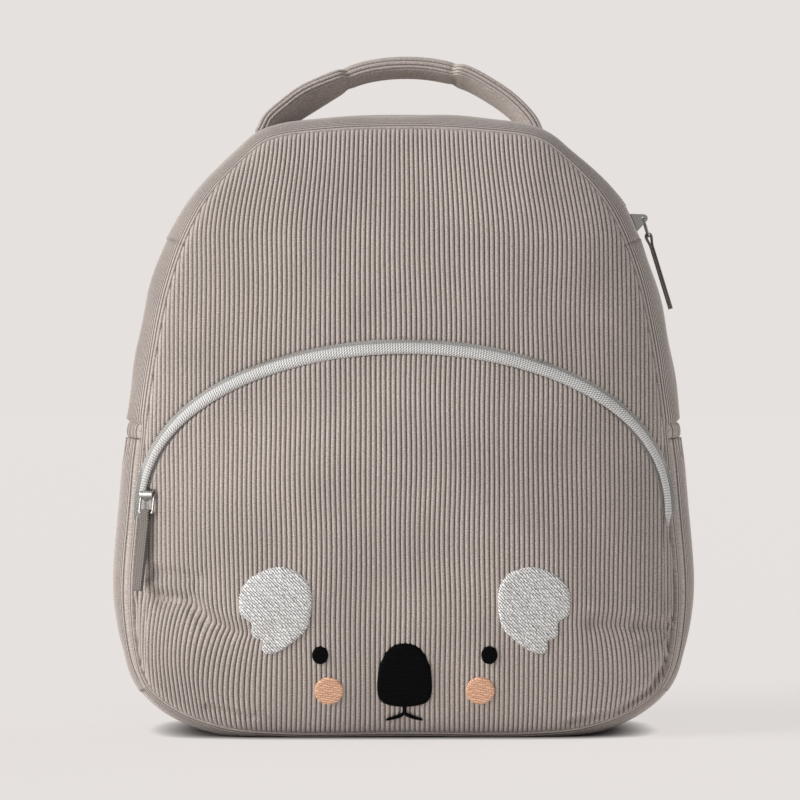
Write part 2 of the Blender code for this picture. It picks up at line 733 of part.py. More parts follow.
def handle():
    """The padded loop on top, which stands on the back half of the gusset."""
    ground = gusset_tree()
    y = HANDLE_PLACE * DEPTH / 2
    foot = ground.ray_cast(Vector((HANDLE_HALF_SPAN, y, 1.0)), Vector((0, 0, -1)))[0]
    line = []
    for turn in np.linspace(0, math.pi, 19):
        up = HANDLE_RISE * math.sin(turn)
        x = HANDLE_HALF_SPAN * math.cos(turn)
        line.append((x, y + up * math.sin(HANDLE_TILT), foot.z + up))
    section = soft_bar(HANDLE_WIDTH, HANDLE_THICKNESS)
    sideways = (0, math.cos(HANDLE_TILT), -math.sin(HANDLE_TILT))
    rings = carry(section, line, sideways)
    for ring in (rings[0], rings[-1]):
        for point in ring:
            hit = ground.ray_cast(Vector((point.x, point.y, 1.0)), Vector((0, 0, -1)))[0]
            point.z = hit.z + HANDLE_LIFT
    loft("handle", rings, "corduroy")


def gusset_tree():
    """The gusset's outer face behind the main zip, for seating the handle."""
    held = bpy.data.objects["gusset_back"]
    graph = bpy.context.evaluated_depsgraph_get()
    return BVHTree.FromObject(held, graph)


def strap(sign, name):
    """One shoulder strap, its ladder buckle and the webbing below it."""
    flat = []
    for down, out, behind in STRAP_LINE:
        x = STRAP_X_TOP + out * (STRAP_X_FOOT - STRAP_X_TOP)
        z = STRAP_TOP - down * (STRAP_TOP - STRAP_FOOT)
        flat.append((sign * x, back_y(x, z) + GAP + behind * STRAP_REACH, z))
    line = spaced(smooth_line(flat), 17)
    rings = carry(soft_bar(STRAP_WIDTH, STRAP_THICKNESS), line, (1, 0, 0))
    for point in rings[0]:
        point.y = back_y(point.x, point.z) + GAP
    loft("shoulder_strap_" + name, rings, "back_cloth")

    end = Vector(line[-1])
    along = (end - Vector(line[-2])).normalized()
    buckle_height = 3 * BUCKLE_BAR + 2 * BUCKLE_WINDOW
    wide = Vector((1, 0, 0)) - along * along.x
    wide.normalize()
    thick = wide.cross(along).normalized()
    centre = end + along * (GAP + buckle_height / 2)
    frame = Matrix((wide, thick, -along)).transposed().to_4x4()
    frame.translation = centre
    buckle("strap_buckle_" + name, frame)

    bar = BUCKLE_BAR
    clear = bar / 2 + 3 * GAP + WEBBING_WALL / 2
    low = bar / 2 + BUCKLE_WINDOW
    weave = [(-low / 2, clear), (bar / 2, clear), (low, -clear), (low + 2 * bar, -clear)]
    places = [centre + along * a + thick * b for a, b in weave]
    start = places[-1]
    for down, out, behind in WEBBING_LINE:
        x = abs(start.x) + out * (WEBBING_FOOT_X - abs(start.x))
        z = start.z - down * (start.z - WEBBING_FOOT_HEIGHT)
        places.append(Vector((sign * x, back_y(x, z) + behind * STRAP_REACH, z)))
    foot_y = back_y(WEBBING_FOOT_X, WEBBING_FOOT_HEIGHT) + GAP + WEBBING_WALL
    places.append(Vector((sign * WEBBING_FOOT_X, foot_y, WEBBING_FOOT_HEIGHT)))
    line = smooth_line(places, per_span=4)
    rings = carry(flat_bar(WEBBING_WIDTH, WEBBING_WALL), line, (1, 0, 0))
    loft("strap_webbing_" + name, rings, "webbing")


def buckle(name, frame):
    """A ladder lock: three bars between two cheeks."""
    bar, window = BUCKLE_BAR, BUCKLE_WINDOW
    edge = BUCKLE_WIDTH / 2
    x_lines = [-edge, -edge + bar, edge - bar, edge]
    z_lines = np.cumsum([0, bar, window, bar, window, bar]) - (3 * bar + 2 * window) / 2
    shape = bmesh.new()
    rows = [[shape.verts.new((x, -bar / 2, z)) for x in x_lines] for z in z_lines]
    for i in range(5):
        for j in range(3):
            if j == 1 and i in (1, 3):
                continue
            shape.faces.new((rows[i][j], rows[i][j + 1], rows[i + 1][j + 1], rows[i + 1][j]))
    held = add_object(name, shape, "buckle", sharp=30)
    solid = held.modifiers.new("wall", "SOLIDIFY")
    solid.thickness = bar
    solid.offset = -1
    held.matrix_world = frame


class Ground:
    """The front pocket's outer face, which the embroidery lies on."""

    def __init__(self, grid):
        rows, columns = grid.shape[:2]
        faces = []
        for i in range(rows - 1):
            for j in range(columns - 1):
                a = i * columns + j
                faces.append((a, a + 1, a + columns + 1, a + columns))
        self.tree = BVHTree.FromPolygons([Vector(p) for p in grid.reshape(-1, 3)], faces)

    def at(self, x, z):
        """The point on the face at x and z, lifted by the sewing gap."""
        place = self.tree.ray_cast(Vector((x, -1.0, z)), Vector((0, 1, 0)))[0]
        return place + front_normal(x, z, True) * SEWN_LIFT


def patch(name, ground, loop, middle, rings, finish):
    """A flat of stitches inside a loop, built in rings round its middle."""
    shape = bmesh.new()
    hub = shape.verts.new(ground.at(*middle))
    before = None
    for k in range(1, rings + 1):
        share = k / rings
        spots = np.array(middle) + share * (np.array(loop) - middle)
        verts = [shape.verts.new(ground.at(x, z)) for x, z in spots]
        for i in range(len(verts)):
            j = (i + 1) % len(verts)
            if before is None:
                shape.faces.new((hub, verts[i], verts[j]))
            else:
                shape.faces.new((before[i], verts[i], verts[j], before[j]))
        before = verts
    held = add_object(name, shape, finish)
    solid = held.modifiers.new("stitches", "SOLIDIFY")
    solid.thickness = THREAD_WALL
    solid.offset = 1
    return held


def turned(points, turn, middle):
    """Points turned about a middle."""
    c, s = math.cos(turn), math.sin(turn)
    return [(middle[0] + c * x - s * z, middle[1] + s * x + c * z) for x, z in points]


def ear_loop(sign):
    """The edge of one ear: an oval with notches in its outer lower side."""
    points = []
    count = 26
    for i in range(count):
        angle = 360 * i / count
        cut = 0.0
        for at, depth in EAR_NOTCHES:
            off = (angle - at + 180) % 360 - 180
            cut = max(cut, depth * max(0.0, 1 - abs(off) / 12))
        turn = math.radians(angle)
        x = (1 - cut) * EAR_HALF_WIDTH * math.cos(turn)
        z = (1 - cut) * EAR_HALF_HEIGHT * math.sin(turn)
        points.append((x, z))
    loop = turned(points, EAR_LEAN, (EAR_X, EAR_Z))
    if sign < 0:
        loop = [(-x, z) for x, z in reversed(loop)]
    return loop


def oval_loop(middle, size, count=14):
    """The edge of an oval patch."""
    turns = [2 * math.pi * i / count for i in range(count)]
    return [(middle[0] + size[0] * math.cos(t), middle[1] + size[1] * math.sin(t)) for t in turns]


def nose_loop():
    """The edge of the nose: narrow and round above, wide and round below."""
    points = []
    count = 24
    for i in range(count):
        turn = 2 * math.pi * i / count
        up = math.sin(turn)
        narrow = 1 - 0.18 * (up + 1) / 2
        bulge = abs(math.cos(turn)) ** 0.8 * math.copysign(1, math.cos(turn))
        points.append((NOSE_HALF_WIDTH * narrow * bulge, NOSE_Z + NOSE_HALF_HEIGHT * up))
    return points


def mouth(ground):
    """The mouth: a short stem in the middle of a line that falls to both sides."""
    rings = []
    for share in np.linspace(-1, 1, 17):
        x = share * MOUTH_HALF_WIDTH
        z = MOUTH_TOP - MOUTH_LINE - MOUTH_DROP * abs(share) ** 0.7
        top = MOUTH_TOP if share == 0 else z + MOUTH_LINE
        low, high = ground.at(x, z), ground.at(x, top)
        out = front_normal(x, z, True) * THREAD_WALL
        rings.append([low, high, high + out, low + out])
    loft("mouth", rings, "black_thread")


def embroidery(grid):
    """The koala's face on the front pocket."""
    ground = Ground(grid)
    for name, sign in (("right", 1), ("left", -1)):
        middle = (sign * EAR_X, EAR_Z)
        patch("ear_" + name, ground, ear_loop(sign), middle, 4, "silver_thread")
        middle = (sign * EYE_X, EYE_Z)
        patch("eye_" + name, ground, oval_loop(middle, EYE_SIZE), middle, 1, "black_thread")
        middle = (sign * CHEEK_X, CHEEK_Z)
        patch("cheek_" + name, ground, oval_loop(middle, CHEEK_SIZE), middle, 2, "peach_thread")
    patch("nose", ground, nose_loop(), (0.0, NOSE_Z), 2, "black_thread")
    mouth(ground)


def build():
    """Build the whole bag."""
    clear_scene()
    grid = front_panels()
    back_panel()
    gusset()
    side_pockets()
    place, normal = pocket_zip()
    down = Vector((0, 0, -1))
    down = (down - normal * down.dot(normal)).normalized()
    pivots = [zip_pull("pocket_zip", place, normal, down, POCKET_PULL_LEAN)]
    place, normal = main_zip()
    down = Vector((normal.z, 0, -normal.x))
    pivots.append(zip_pull("main_zip", place, normal, down, 0.0))
    for pivot, axis in pivots:
        print("a pull turns at", pivot, "about", axis)
    handle()
    strap(1, "right")
    strap(-1, "left")
    embroidery(grid)


build()
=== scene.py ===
"""A kids' corduroy backpack with a koala's face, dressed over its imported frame.

Lengths are metres. The bag stands on the floor, its front faces -Y.
"""

import json
import logging
import math
from collections.abc import Callable
from dataclasses import dataclass, field
from enum import Enum

import bmesh
import bpy
import numpy as np
from mathutils import Matrix, Vector


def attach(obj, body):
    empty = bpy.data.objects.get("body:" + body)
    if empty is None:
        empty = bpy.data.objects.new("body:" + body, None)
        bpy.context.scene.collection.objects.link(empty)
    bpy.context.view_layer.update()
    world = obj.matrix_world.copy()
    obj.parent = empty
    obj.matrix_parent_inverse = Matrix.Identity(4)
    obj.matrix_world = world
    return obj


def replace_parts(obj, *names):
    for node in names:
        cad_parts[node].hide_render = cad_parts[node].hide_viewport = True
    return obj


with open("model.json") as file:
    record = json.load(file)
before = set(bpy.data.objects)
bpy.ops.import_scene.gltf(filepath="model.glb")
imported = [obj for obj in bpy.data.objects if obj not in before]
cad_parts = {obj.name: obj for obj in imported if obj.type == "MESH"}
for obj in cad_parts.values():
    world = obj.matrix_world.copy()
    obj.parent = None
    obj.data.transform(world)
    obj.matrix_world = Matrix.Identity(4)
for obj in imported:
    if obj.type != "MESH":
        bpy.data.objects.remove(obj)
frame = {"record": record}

LOG = logging.getLogger("backpack")
MM = 0.001

# Half of the front seam's line, from the middle of the base to the middle of the top.
# Columns: out as a share of the seam's half width, up as a share of its height.
SEAM_SHAPE = (
    (0.0, 0.008), (0.47, 0.008), (0.67, 0.018), (0.86, 0.052), (0.955, 0.095), (1.0, 0.21),
    (0.975, 0.39), (0.936, 0.567), (0.865, 0.74), (0.787, 0.837), (0.708, 0.897), (0.592, 0.951),
    (0.5, 0.981), (0.27, 0.996), (0.0, 1.0),
)

# How slack the gusset is: height of the seam in mm and share of its fullness that is missing.
GUSSET_SLACK = (
    (0, 0.3), (20, 0.34), (36, 0.2), (56, 0.0), (205, 0.0), (228, 0.05), (246, 0.16), (260, 0.28),
    (272, 0.33), (282, 0.28), (289, 0.2),
)

# The handle's arch from its right foot to its left: out as a share of the half span, and up.
HANDLE_ARCH = (
    (1.0, 0.0), (0.963, 0.17), (0.891, 0.34), (0.794, 0.51), (0.664, 0.68), (0.499, 0.85),
    (0.35, 0.935), (0.2, 0.985), (0.05, 1.0), (-0.1, 0.985), (-0.254, 0.935), (-0.384, 0.85),
    (-0.57, 0.68), (-0.729, 0.51), (-0.847, 0.34), (-0.948, 0.17), (-1.0, 0.0),
)

# Edge of the left ear: out and up as shares of its half sizes.
EAR_SHAPE = (
    (0.11, 1.0), (0.44, 0.95), (0.72, 0.83), (0.9, 0.66), (0.99, 0.43), (1.0, 0.13), (0.95, -0.18),
    (0.86, -0.41), (0.68, -0.58), (0.44, -0.75), (0.16, -0.91), (-0.11, -1.0), (-0.3, -0.98),
    (-0.38, -0.87), (-0.35, -0.74), (-0.36, -0.7), (-0.48, -0.66), (-0.61, -0.62), (-0.67, -0.5),
    (-0.65, -0.35), (-0.66, -0.28), (-0.78, -0.2), (-0.91, -0.14), (-0.98, -0.04), (-1.0, 0.17),
    (-0.96, 0.43), (-0.85, 0.6), (-0.64, 0.77), (-0.37, 0.89), (-0.11, 0.97),
)

# Right half of the nose's edge: out and up as shares of its half sizes.
NOSE_SHAPE = (
    (0.0, 1.0), (0.28, 0.965), (0.5, 0.87), (0.68, 0.71), (0.82, 0.49), (0.93, 0.22), (0.985, -0.1),
    (1.0, -0.4), (0.96, -0.66), (0.83, -0.84), (0.58, -0.94), (0.3, -0.985), (0.0, -1.0),
)

# Folds that press the pocket in, each along a line between two points.
# Columns: x and z of one end, x and z of the other, depth and half width, all in mm.
POCKET_FOLDS = (
    (-126, 68, -103, 65, 3.4, 4.2),
    (-103, 65, -93, 56, 3.2, 4.0),
    (-93, 56, -81, 51, 2.6, 4.2),
    (-81, 51, -62, 48.5, 1.5, 5.0),
    (-124, 79, -99, 75, 1.8, 4.0),
    (-107, 59, -97, 61, 1.0, 2.6),
    (88, 55, 108, 53.5, 2.0, 3.8),
    (108, 53.5, 126, 52, 3.2, 3.8),
    (112, 44, 126, 49, 1.6, 3.0),
    (126, 56, 127, 50, 3.0, 2.0),
    (127, 50, 124.5, 37, 5.2, 2.2),
    (124.5, 37, 116, 22.5, 5.2, 2.2),
    (116, 22.5, 100, 11.5, 4.4, 2.0),
    (100, 11.5, 78, 7, 3.0, 1.8),
    (-94, 15.5, -72, 10.5, 1.8, 1.6),
)

# How a wale swings past a fold: height above the fold in mm and share of the greatest shift.
KINK_SHAPE = (
    (-56, 0.0), (-40, -0.6), (-28, -0.9), (-14, -0.5), (-4, 0.3), (0, 0.8), (3, 0.7), (8, 0.4),
    (32, 0.15), (80, 0.0),
)

# The folds that the wales swing at: x and z along each fold, the greatest shift, and the x
# where the shift starts and where it is full, all in mm.
WALE_KINKS = (
    ((-126, -103, -93, -81, -62), (68, 65, 56, 51, 48.5), 4.4, -52, -96),
    ((-124, -99), (79, 75), 0.9, -88, -108),
    ((88, 108, 126), (55, 53.5, 52), -3.0, 70, 104),
)


def eased(share: np.ndarray) -> np.ndarray:
    """Ease from 0 to 1 while share goes from 0 to 1."""
    held = np.clip(share, 0.0, 1.0)
    return held * held * (3 - 2 * held)


def smooth_line(points: np.ndarray, closed: bool = False, per_span: int = 12) -> np.ndarray:
    """A centripetal Catmull-Rom curve through points.

    Args:
        points: the points that the curve goes through.
        closed: whether it runs back to its first point.
        per_span: how many points it gets between two given ones.

    Returns:
        The points of the curve.
    """
    given = np.array(points, float)
    if closed:
        padded = np.vstack([given[-1], given, given[0], given[1]])
    else:
        padded = np.vstack([2 * given[0] - given[1], given, 2 * given[-1] - given[-2]])
    steps = np.sqrt(np.linalg.norm(np.diff(padded, axis=0), axis=1))
    knots = np.concatenate([[0], np.cumsum(steps)])

    def mix(first: np.ndarray, second: np.ndarray, low: int, high: int, at: float) -> np.ndarray:
        share = (at - knots[low]) / (knots[high] - knots[low])
        return (1 - share) * first + share * second

    line = []
    for i in range(1, len(padded) - 2):
        for at in np.linspace(knots[i], knots[i + 1], per_span, endpoint=False):
            near = [mix(padded[k], padded[k + 1], k, k + 1, at) for k in (i - 1, i, i + 1)]
            wide = [mix(near[j], near[j + 1], i - 1 + j, i + 1 + j, at) for j in (0, 1)]
            line.append(mix(wide[0], wide[1], i, i + 1, at))
    if not closed:
        line.append(padded[-2])
    return np.array(line)


def gone_along(line: np.ndarray) -> np.ndarray:
    """How far along a line each of its points lies."""
    return np.concatenate([[0], np.cumsum(np.linalg.norm(np.diff(line, axis=0), axis=1))])


def spaced(line: np.ndarray, count: int) -> np.ndarray:
    """The line again as count points, evenly spaced along it."""
    along = gone_along(line)
    at = np.linspace(0, along[-1], count)
    return np.stack([np.interp(at, along, line[:, k]) for k in range(line.shape[1])], axis=1)


def paired(one: np.ndarray, two: np.ndarray) -> np.ndarray:
    """Two coordinates side by side, over the grid that both span."""
    return np.stack(np.broadcast_arrays(one, two), axis=-1)


def unit(vectors: np.ndarray) -> np.ndarray:
    """The same vectors with a length of one."""
    return vectors / np.maximum(np.linalg.norm(vectors, axis=-1, keepdims=True), 1e-12)


def ripples(x: np.ndarray, z: np.ndarray, seed: int, size: float, length: float) -> np.ndarray:
    """A soft unevenness over a surface.

    Args:
        x: first coordinate of each point.
        z: second coordinate of each point.
        seed: picks one pattern.
        size: about the greatest height.
        length: about the distance between two crests.

    Returns:
        The height at each point.
    """
    rng = np.random.default_rng(seed)
    total = np.zeros(np.broadcast(x, z).shape)
    for _ in range(7):
        turn = rng.uniform(0, math.pi)
        wave = 2 * math.pi / (length * rng.uniform(0.6, 1.6))
        phase = rng.uniform(0, 2 * math.pi)
        total = total + np.sin(wave * (x * math.cos(turn) + z * math.sin(turn)) + phase)
    return total * size / 4


def hinge(word: str) -> tuple[np.ndarray, np.ndarray]:
    """The place and the axis of the joint whose name holds a word."""
    joint = next(j for j in frame["record"]["behaviour"]["joints"] if word in j["name"])
    return np.array(joint["pos_m"], float), unit(np.array(joint["axis"], float))


def linked(name: str, data: bpy.types.ID) -> bpy.types.Object:
    """A new object in the scene."""
    made = bpy.data.objects.new(name, data)
    bpy.context.scene.collection.objects.link(made)
    return made


class SeamLine:
    """A closed seam in the XZ plane, from the middle of the base up the right side."""

    SAMPLES = 720

    def __init__(self, half_width: float, height: float, inset: float) -> None:
        """Work out the line.

        Args:
            half_width: widest point from the middle.
            height: top above the floor.
            inset: how far the line lies inside that.
        """
        right = [(out * half_width, up * height) for out, up in SEAM_SHAPE]
        left = [(-x, z) for x, z in reversed(right[1:-1])]
        loop = smooth_line(right + left, closed=True)
        line = spaced(np.vstack([loop, loop[0]]), self.SAMPLES + 1)
        along = np.gradient(line, axis=0)
        along[0] = along[-1] = line[1] - line[-2]
        self.normals = unit(np.stack([along[:, 1], -along[:, 0]], axis=1))
        self.points = line - self.normals * inset
        self.middle = np.array([0.0, height * 0.45])
        spokes = self.points[:-1] - self.middle
        turn = np.arctan2(spokes[:, 1], spokes[:, 0])
        order = np.argsort(turn)
        self.turns = turn[order]
        self.radii = np.linalg.norm(spokes, axis=1)[order]

    def at(self, share: np.ndarray) -> tuple[np.ndarray, np.ndarray]:
        """Points and outward normals at shares of the way round."""
        place = np.mod(share, 1.0) * self.SAMPLES
        index = np.arange(self.SAMPLES + 1)
        point = np.stack([np.interp(place, index, self.points[:, k]) for k in (0, 1)], -1)
        normal = np.stack([np.interp(place, index, self.normals[:, k]) for k in (0, 1)], -1)
        return point, unit(normal)

    def side(self, height: float) -> float:
        """The share of the way round where the right side is at a height."""
        start = self.SAMPLES // 16
        half = self.points[start : self.SAMPLES // 2, 1]
        return float(start + np.interp(height, half, np.arange(len(half)))) / self.SAMPLES

    def length(self) -> float:
        """The whole way round."""
        return float(np.linalg.norm(np.diff(self.points, axis=0), axis=1).sum())

    def reach(self, x: np.ndarray, z: np.ndarray) -> np.ndarray:
        """How far out points lie: 0 in the middle, 1 on the line and more outside."""
        turn = np.arctan2(z - self.middle[1], x - self.middle[0])
        edge = np.interp(turn, self.turns, self.radii, period=2 * math.pi)
        return np.hypot(x - self.middle[0], z - self.middle[1]) / edge


@dataclass
class BagForm:
    """The stuffed body that all the cloth is laid over."""

    seam_height: float = 289 * MM
    seam_half_width: float = 129 * MM
    depth: float = 110 * MM
    gusset_fullness: float = 11.5 * MM
    front_fullness: float = 27 * MM
    pocket_fullness: float = 7 * MM
    back_fullness: float = 7 * MM
    gusset_wall: float = 2.5 * MM
    gap: float = 0.3 * MM
    tuck: float = 1 * MM
    slot: float = 7.5 * MM
    zip_foot: float = 105 * MM
    zip_rise: float = 79 * MM
    zip_power: float = 0.87
    main_zip_foot: float = 234 * MM
    main_pull_height: float = 247 * MM
    side_pocket_foot: float = 24 * MM
    side_pocket_top: float = 141 * MM
    hem_height: float = 7.3 * MM
    gusset_press: float = 4.4 * MM
    press_ramp: float = 17 * MM
    pull_hold: float = 13 * MM
    rim_forward: float = 0.9 * MM
    zip_inset: float = 2.2 * MM
    face_power: float = 0.75
    gusset_power: float = 0.6
    fold_fade: int = 80
    seam: SeamLine = field(init=False)
    panel: SeamLine = field(init=False)
    face: SeamLine = field(init=False)
    zip_half_width: float = field(init=False)

    def __post_init__(self) -> None:
        """Work out both seams and where the pocket's zip ends."""
        self.seam = SeamLine(self.seam_half_width, self.seam_height, 0.0)
        inset = self.gusset_wall + self.gap
        self.panel = SeamLine(self.seam_half_width, self.seam_height, inset)
        self.face = SeamLine(self.seam_half_width, self.seam_height, self.gap)
        foot = self.face.at(self.face.side(self.zip_foot))[0]
        self.zip_half_width = abs(float(foot[0])) - self.zip_inset

    def zip_line(self, offset: float, count: int, end_turn: float = 2.0) -> np.ndarray:
        """Points of the pocket zip, moved up off its centreline.

        Args:
            offset: how far it is moved outward.
            count: how many points it has.
            end_turn: degrees of the arch that are left off at each end.

        Returns:
            Rows of x and z from left to right.
        """
        ends = math.radians(end_turn)
        turns = np.linspace(math.pi - ends, ends, count)
        x = self.zip_half_width * np.cos(turns)
        z = self.zip_foot + self.zip_rise * np.sin(turns) ** self.zip_power
        line = np.stack([x, z], axis=1)
        along = unit(np.gradient(line, axis=0))
        return line + offset * np.stack([-along[:, 1], along[:, 0]], axis=1)

    def zip_height(self, x: np.ndarray) -> np.ndarray:
        """Height of the pocket zip's centreline."""
        share = np.minimum(np.abs(x) / self.zip_half_width, 1.0)
        return self.zip_foot + self.zip_rise * (1 - share * share) ** (self.zip_power / 2)

    def fold_depth(self, x: np.ndarray, z: np.ndarray) -> np.ndarray:
        """How deep the folds press the pocket in, with a low lip above each."""
        valley = np.zeros(np.broadcast(x, z).shape)
        crest = np.zeros(valley.shape)
        for x_0, z_0, x_1, z_1, deep, wide in np.array(POCKET_FOLDS) * MM:
            way_x, way_z = x_1 - x_0, z_1 - z_0
            long = way_x**2 + way_z**2
            along = np.clip(((x - x_0) * way_x + (z - z_0) * way_z) / long, 0, 1)
            off_x, off_z = x - x_0 - along * way_x, z - z_0 - along * way_z
            off = np.hypot(off_x, off_z) / wide
            lip = np.exp(-(((off_z / wide - 1.7) / 0.9) ** 2) - (off_x / wide) ** 2)
            valley = np.maximum(valley, deep * np.exp(-off * off))
            crest = np.maximum(crest, deep * 0.45 * lip)
        return valley - crest

    def front_y(self, x: np.ndarray, z: np.ndarray, pocket: bool) -> np.ndarray:
        """Depth of the front's outer face.

        Args:
            x: across the bag.
            z: above the floor.
            pocket: whether the pocket's own fullness counts.

        Returns:
            The y of each point.
        """
        reach = np.minimum(self.face.reach(x, z), 1.0)
        out = self.front_fullness * (1 - reach**2) ** self.face_power
        if pocket:
            fall = (self.zip_height(x) - z) / (self.zip_foot + self.zip_rise)
            out = out + self.pocket_fullness * (1 - reach**4) * (0.2 + 0.8 * eased(fall * 3))
            out = out - self.fold_depth(x, z) * (1 - reach**self.fold_fade)
        return -(self.depth / 2 + self.rim_forward + out)

    def front_normal(self, x: np.ndarray, z: np.ndarray, pocket: bool) -> np.ndarray:
        """Outward normals of the front's outer face."""
        return self.normals(lambda a, b: self.front_y(a, b, pocket), x, z, -1)

    @staticmethod
    def normals(
        depth_at: Callable[[np.ndarray, np.ndarray], np.ndarray],
        x: np.ndarray,
        z: np.ndarray,
        side: int,
    ) -> np.ndarray:
        """Outward normals of a face.

        Args:
            depth_at: gives the face's y for x and z.
            x: across the bag.
            z: above the floor.
            side: -1 for the front and 1 for the back.

        Returns:
            The normal at each point.
        """
        step = 0.5 * MM
        d_x = depth_at(x + step, z) - depth_at(x - step, z)
        d_z = depth_at(x, z + step) - depth_at(x, z - step)
        return unit(np.stack([-side * d_x, np.full(d_x.shape, side * 2 * step), -side * d_z], axis=-1))

    def back_y(self, x: np.ndarray, z: np.ndarray) -> np.ndarray:
        """Depth of the back panel's outer face."""
        reach = np.minimum(self.panel.reach(x, z), 1.0)
        out = self.back_fullness * (1 - reach**2) ** self.face_power
        return self.depth / 2 - self.tuck + out

    def press(self, height: np.ndarray, pocket: bool) -> np.ndarray:
        """How far the gusset is pressed in behind the side pockets.

        Args:
            height: above the floor.
            pocket: whether the pocket's own cloth is laid, which takes no notice of the mouth.

        Returns:
            The depth at each height.
        """
        below = eased((height - self.side_pocket_foot) / self.press_ramp)
        if pocket:
            return self.gusset_press * below
        mouth = self.side_pocket_top + self.hem_height
        return self.gusset_press * below * eased((mouth - height) / (2.2 * MM) + 0.3)

    def gusset_face(
        self, share: np.ndarray, across: np.ndarray, lift: np.ndarray, pocket: bool = False
    ) -> tuple[np.ndarray, np.ndarray]:
        """Points and outward directions on the gusset.

        Args:
            share: shares of the way round the seam.
            across: from -1 at the front seam to 1 at the back seam.
            lift: how far above the outer face.
            pocket: whether a side pocket's cloth is laid over it.

        Returns:
            The points, and the direction in which each is lifted.
        """
        share, across, lift = np.broadcast_arrays(share, across, lift)
        point, normal = self.seam.at(share)
        full = self.gusset_fullness - self.press(point[..., 1], pocket)
        slack = np.interp(point[..., 1] / MM, *smooth_line(np.array(GUSSET_SLACK)).T)
        held = np.exp(-(((point[..., 1] - self.main_pull_height) / self.pull_hold) ** 2))
        full = full * (1 - slack * (1 - held * (point[..., 0] > 0)))
        arch = (1 - across**2) ** self.gusset_power
        place = point + normal * (full * arch + lift)[..., None]
        spot = np.stack([place[..., 0], across * self.depth / 2, place[..., 1]], axis=-1)
        steep = (1 - np.minimum(across**2, 0.97)) ** (self.gusset_power - 1)
        lean = full * 2 * self.gusset_power * across * steep / (self.depth / 2)
        out = np.stack([normal[..., 0], lean, normal[..., 1]], axis=-1)
        return spot, unit(out)


class Slot(Enum):
    """The record's material slots."""

    CORDUROY = "corduroy"
    ZIP_TAPE = "zip_tape"
    ZIP_COIL = "zip_coil"
    METAL = "metal"
    PULL_TAB = "pull_tab"
    BACK_CLOTH = "back_cloth"
    WEBBING = "webbing"
    BUCKLE = "buckle"
    SILVER_THREAD = "silver_thread"
    BLACK_THREAD = "black_thread"
    PEACH_THREAD = "peach_thread"


Colour = tuple[float, float, float]
Feed = object


class NodeBench:
    """A node tree with short calls for laying out its nodes."""

    def __init__(self, tree: bpy.types.NodeTree) -> None:
        """Work on one tree."""
        self.tree = tree

    def feed(self, socket: bpy.types.NodeSocket, value: Feed) -> None:
        """Link a socket to another one, or set its own value."""
        if isinstance(value, bpy.types.NodeSocket):
            self.tree.links.new(value, socket)
        elif isinstance(value, tuple) and len(value) == 3 and socket.type == "RGBA":
            socket.default_value = (*value, 1.0)
        else:
            socket.default_value = value

    def add(self, kind: str, feeds: dict | None = None, **settings: object) -> bpy.types.Node:
        """Add a node.

        Args:
            kind: Blender's name for it, without ShaderNode.
            feeds: values or sockets for its inputs, by name or number.
            settings: its own properties.

        Returns:
            The node.
        """
        node = self.tree.nodes.new("ShaderNode" + kind)
        for key, value in settings.items():
            setattr(node, key, value)
        for key, value in (feeds or {}).items():
            self.feed(node.inputs[key], value)
        return node

    def math(self, operation: str, one: Feed, two: Feed = 0.0) -> bpy.types.NodeSocket:
        """The result of a Math node."""
        return self.add("Math", {0: one, 1: two}, operation=operation).outputs[0]

    def blend(self, share: Feed, low: Feed, high: Feed, kind: str = "MIX") -> bpy.types.NodeSocket:
        """The colour that a Mix node gives."""
        feeds = {0: share, 6: low, 7: high}
        return self.add("Mix", feeds, data_type="RGBA", blend_type=kind).outputs[2]

    def spread(self, value: Feed, low: float, high: float) -> bpy.types.NodeSocket:
        """A value from 0 to 1, carried to between low and high."""
        feeds = {"Value": value, "To Min": low, "To Max": high}
        return self.add("MapRange", feeds, clamp=True).outputs[0]

    def ramp(
        self, value: Feed, low: float, high: float, **settings: object
    ) -> bpy.types.NodeSocket:
        """A value between low and high, carried to between 0 and 1."""
        feeds = {"Value": value, "From Min": low, "From Max": high}
        return self.add("MapRange", feeds, **settings).outputs[0]

    def noise(self, vector: Feed, scale: Feed, detail: float) -> bpy.types.NodeSocket:
        """The value of a Noise Texture."""
        feeds = {"Vector": vector, "Scale": scale, "Detail": detail}
        return self.add("TexNoise", feeds).outputs[0]


def make_group(
    name: str, inputs: dict[str, tuple[str, object]], outputs: dict[str, str]
) -> tuple[NodeBench, bpy.types.Node, bpy.types.Node]:
    """A new shader group with its sockets.

    Args:
        name: the group's name.
        inputs: type and first value of each input by name.
        outputs: type of each output by name.

    Returns:
        A bench on its tree, its input node and its output node.
    """
    tree = bpy.data.node_groups.new(name, "ShaderNodeTree")
    for key, (kind, value) in inputs.items():
        made = tree.interface.new_socket(key, in_out="INPUT", socket_type="NodeSocket" + kind)
        if value is not None:
            made.default_value = value
    for key, kind in outputs.items():
        tree.interface.new_socket(key, in_out="OUTPUT", socket_type="NodeSocket" + kind)
    return NodeBench(tree), tree.nodes.new("NodeGroupInput"), tree.nodes.new("NodeGroupOutput")


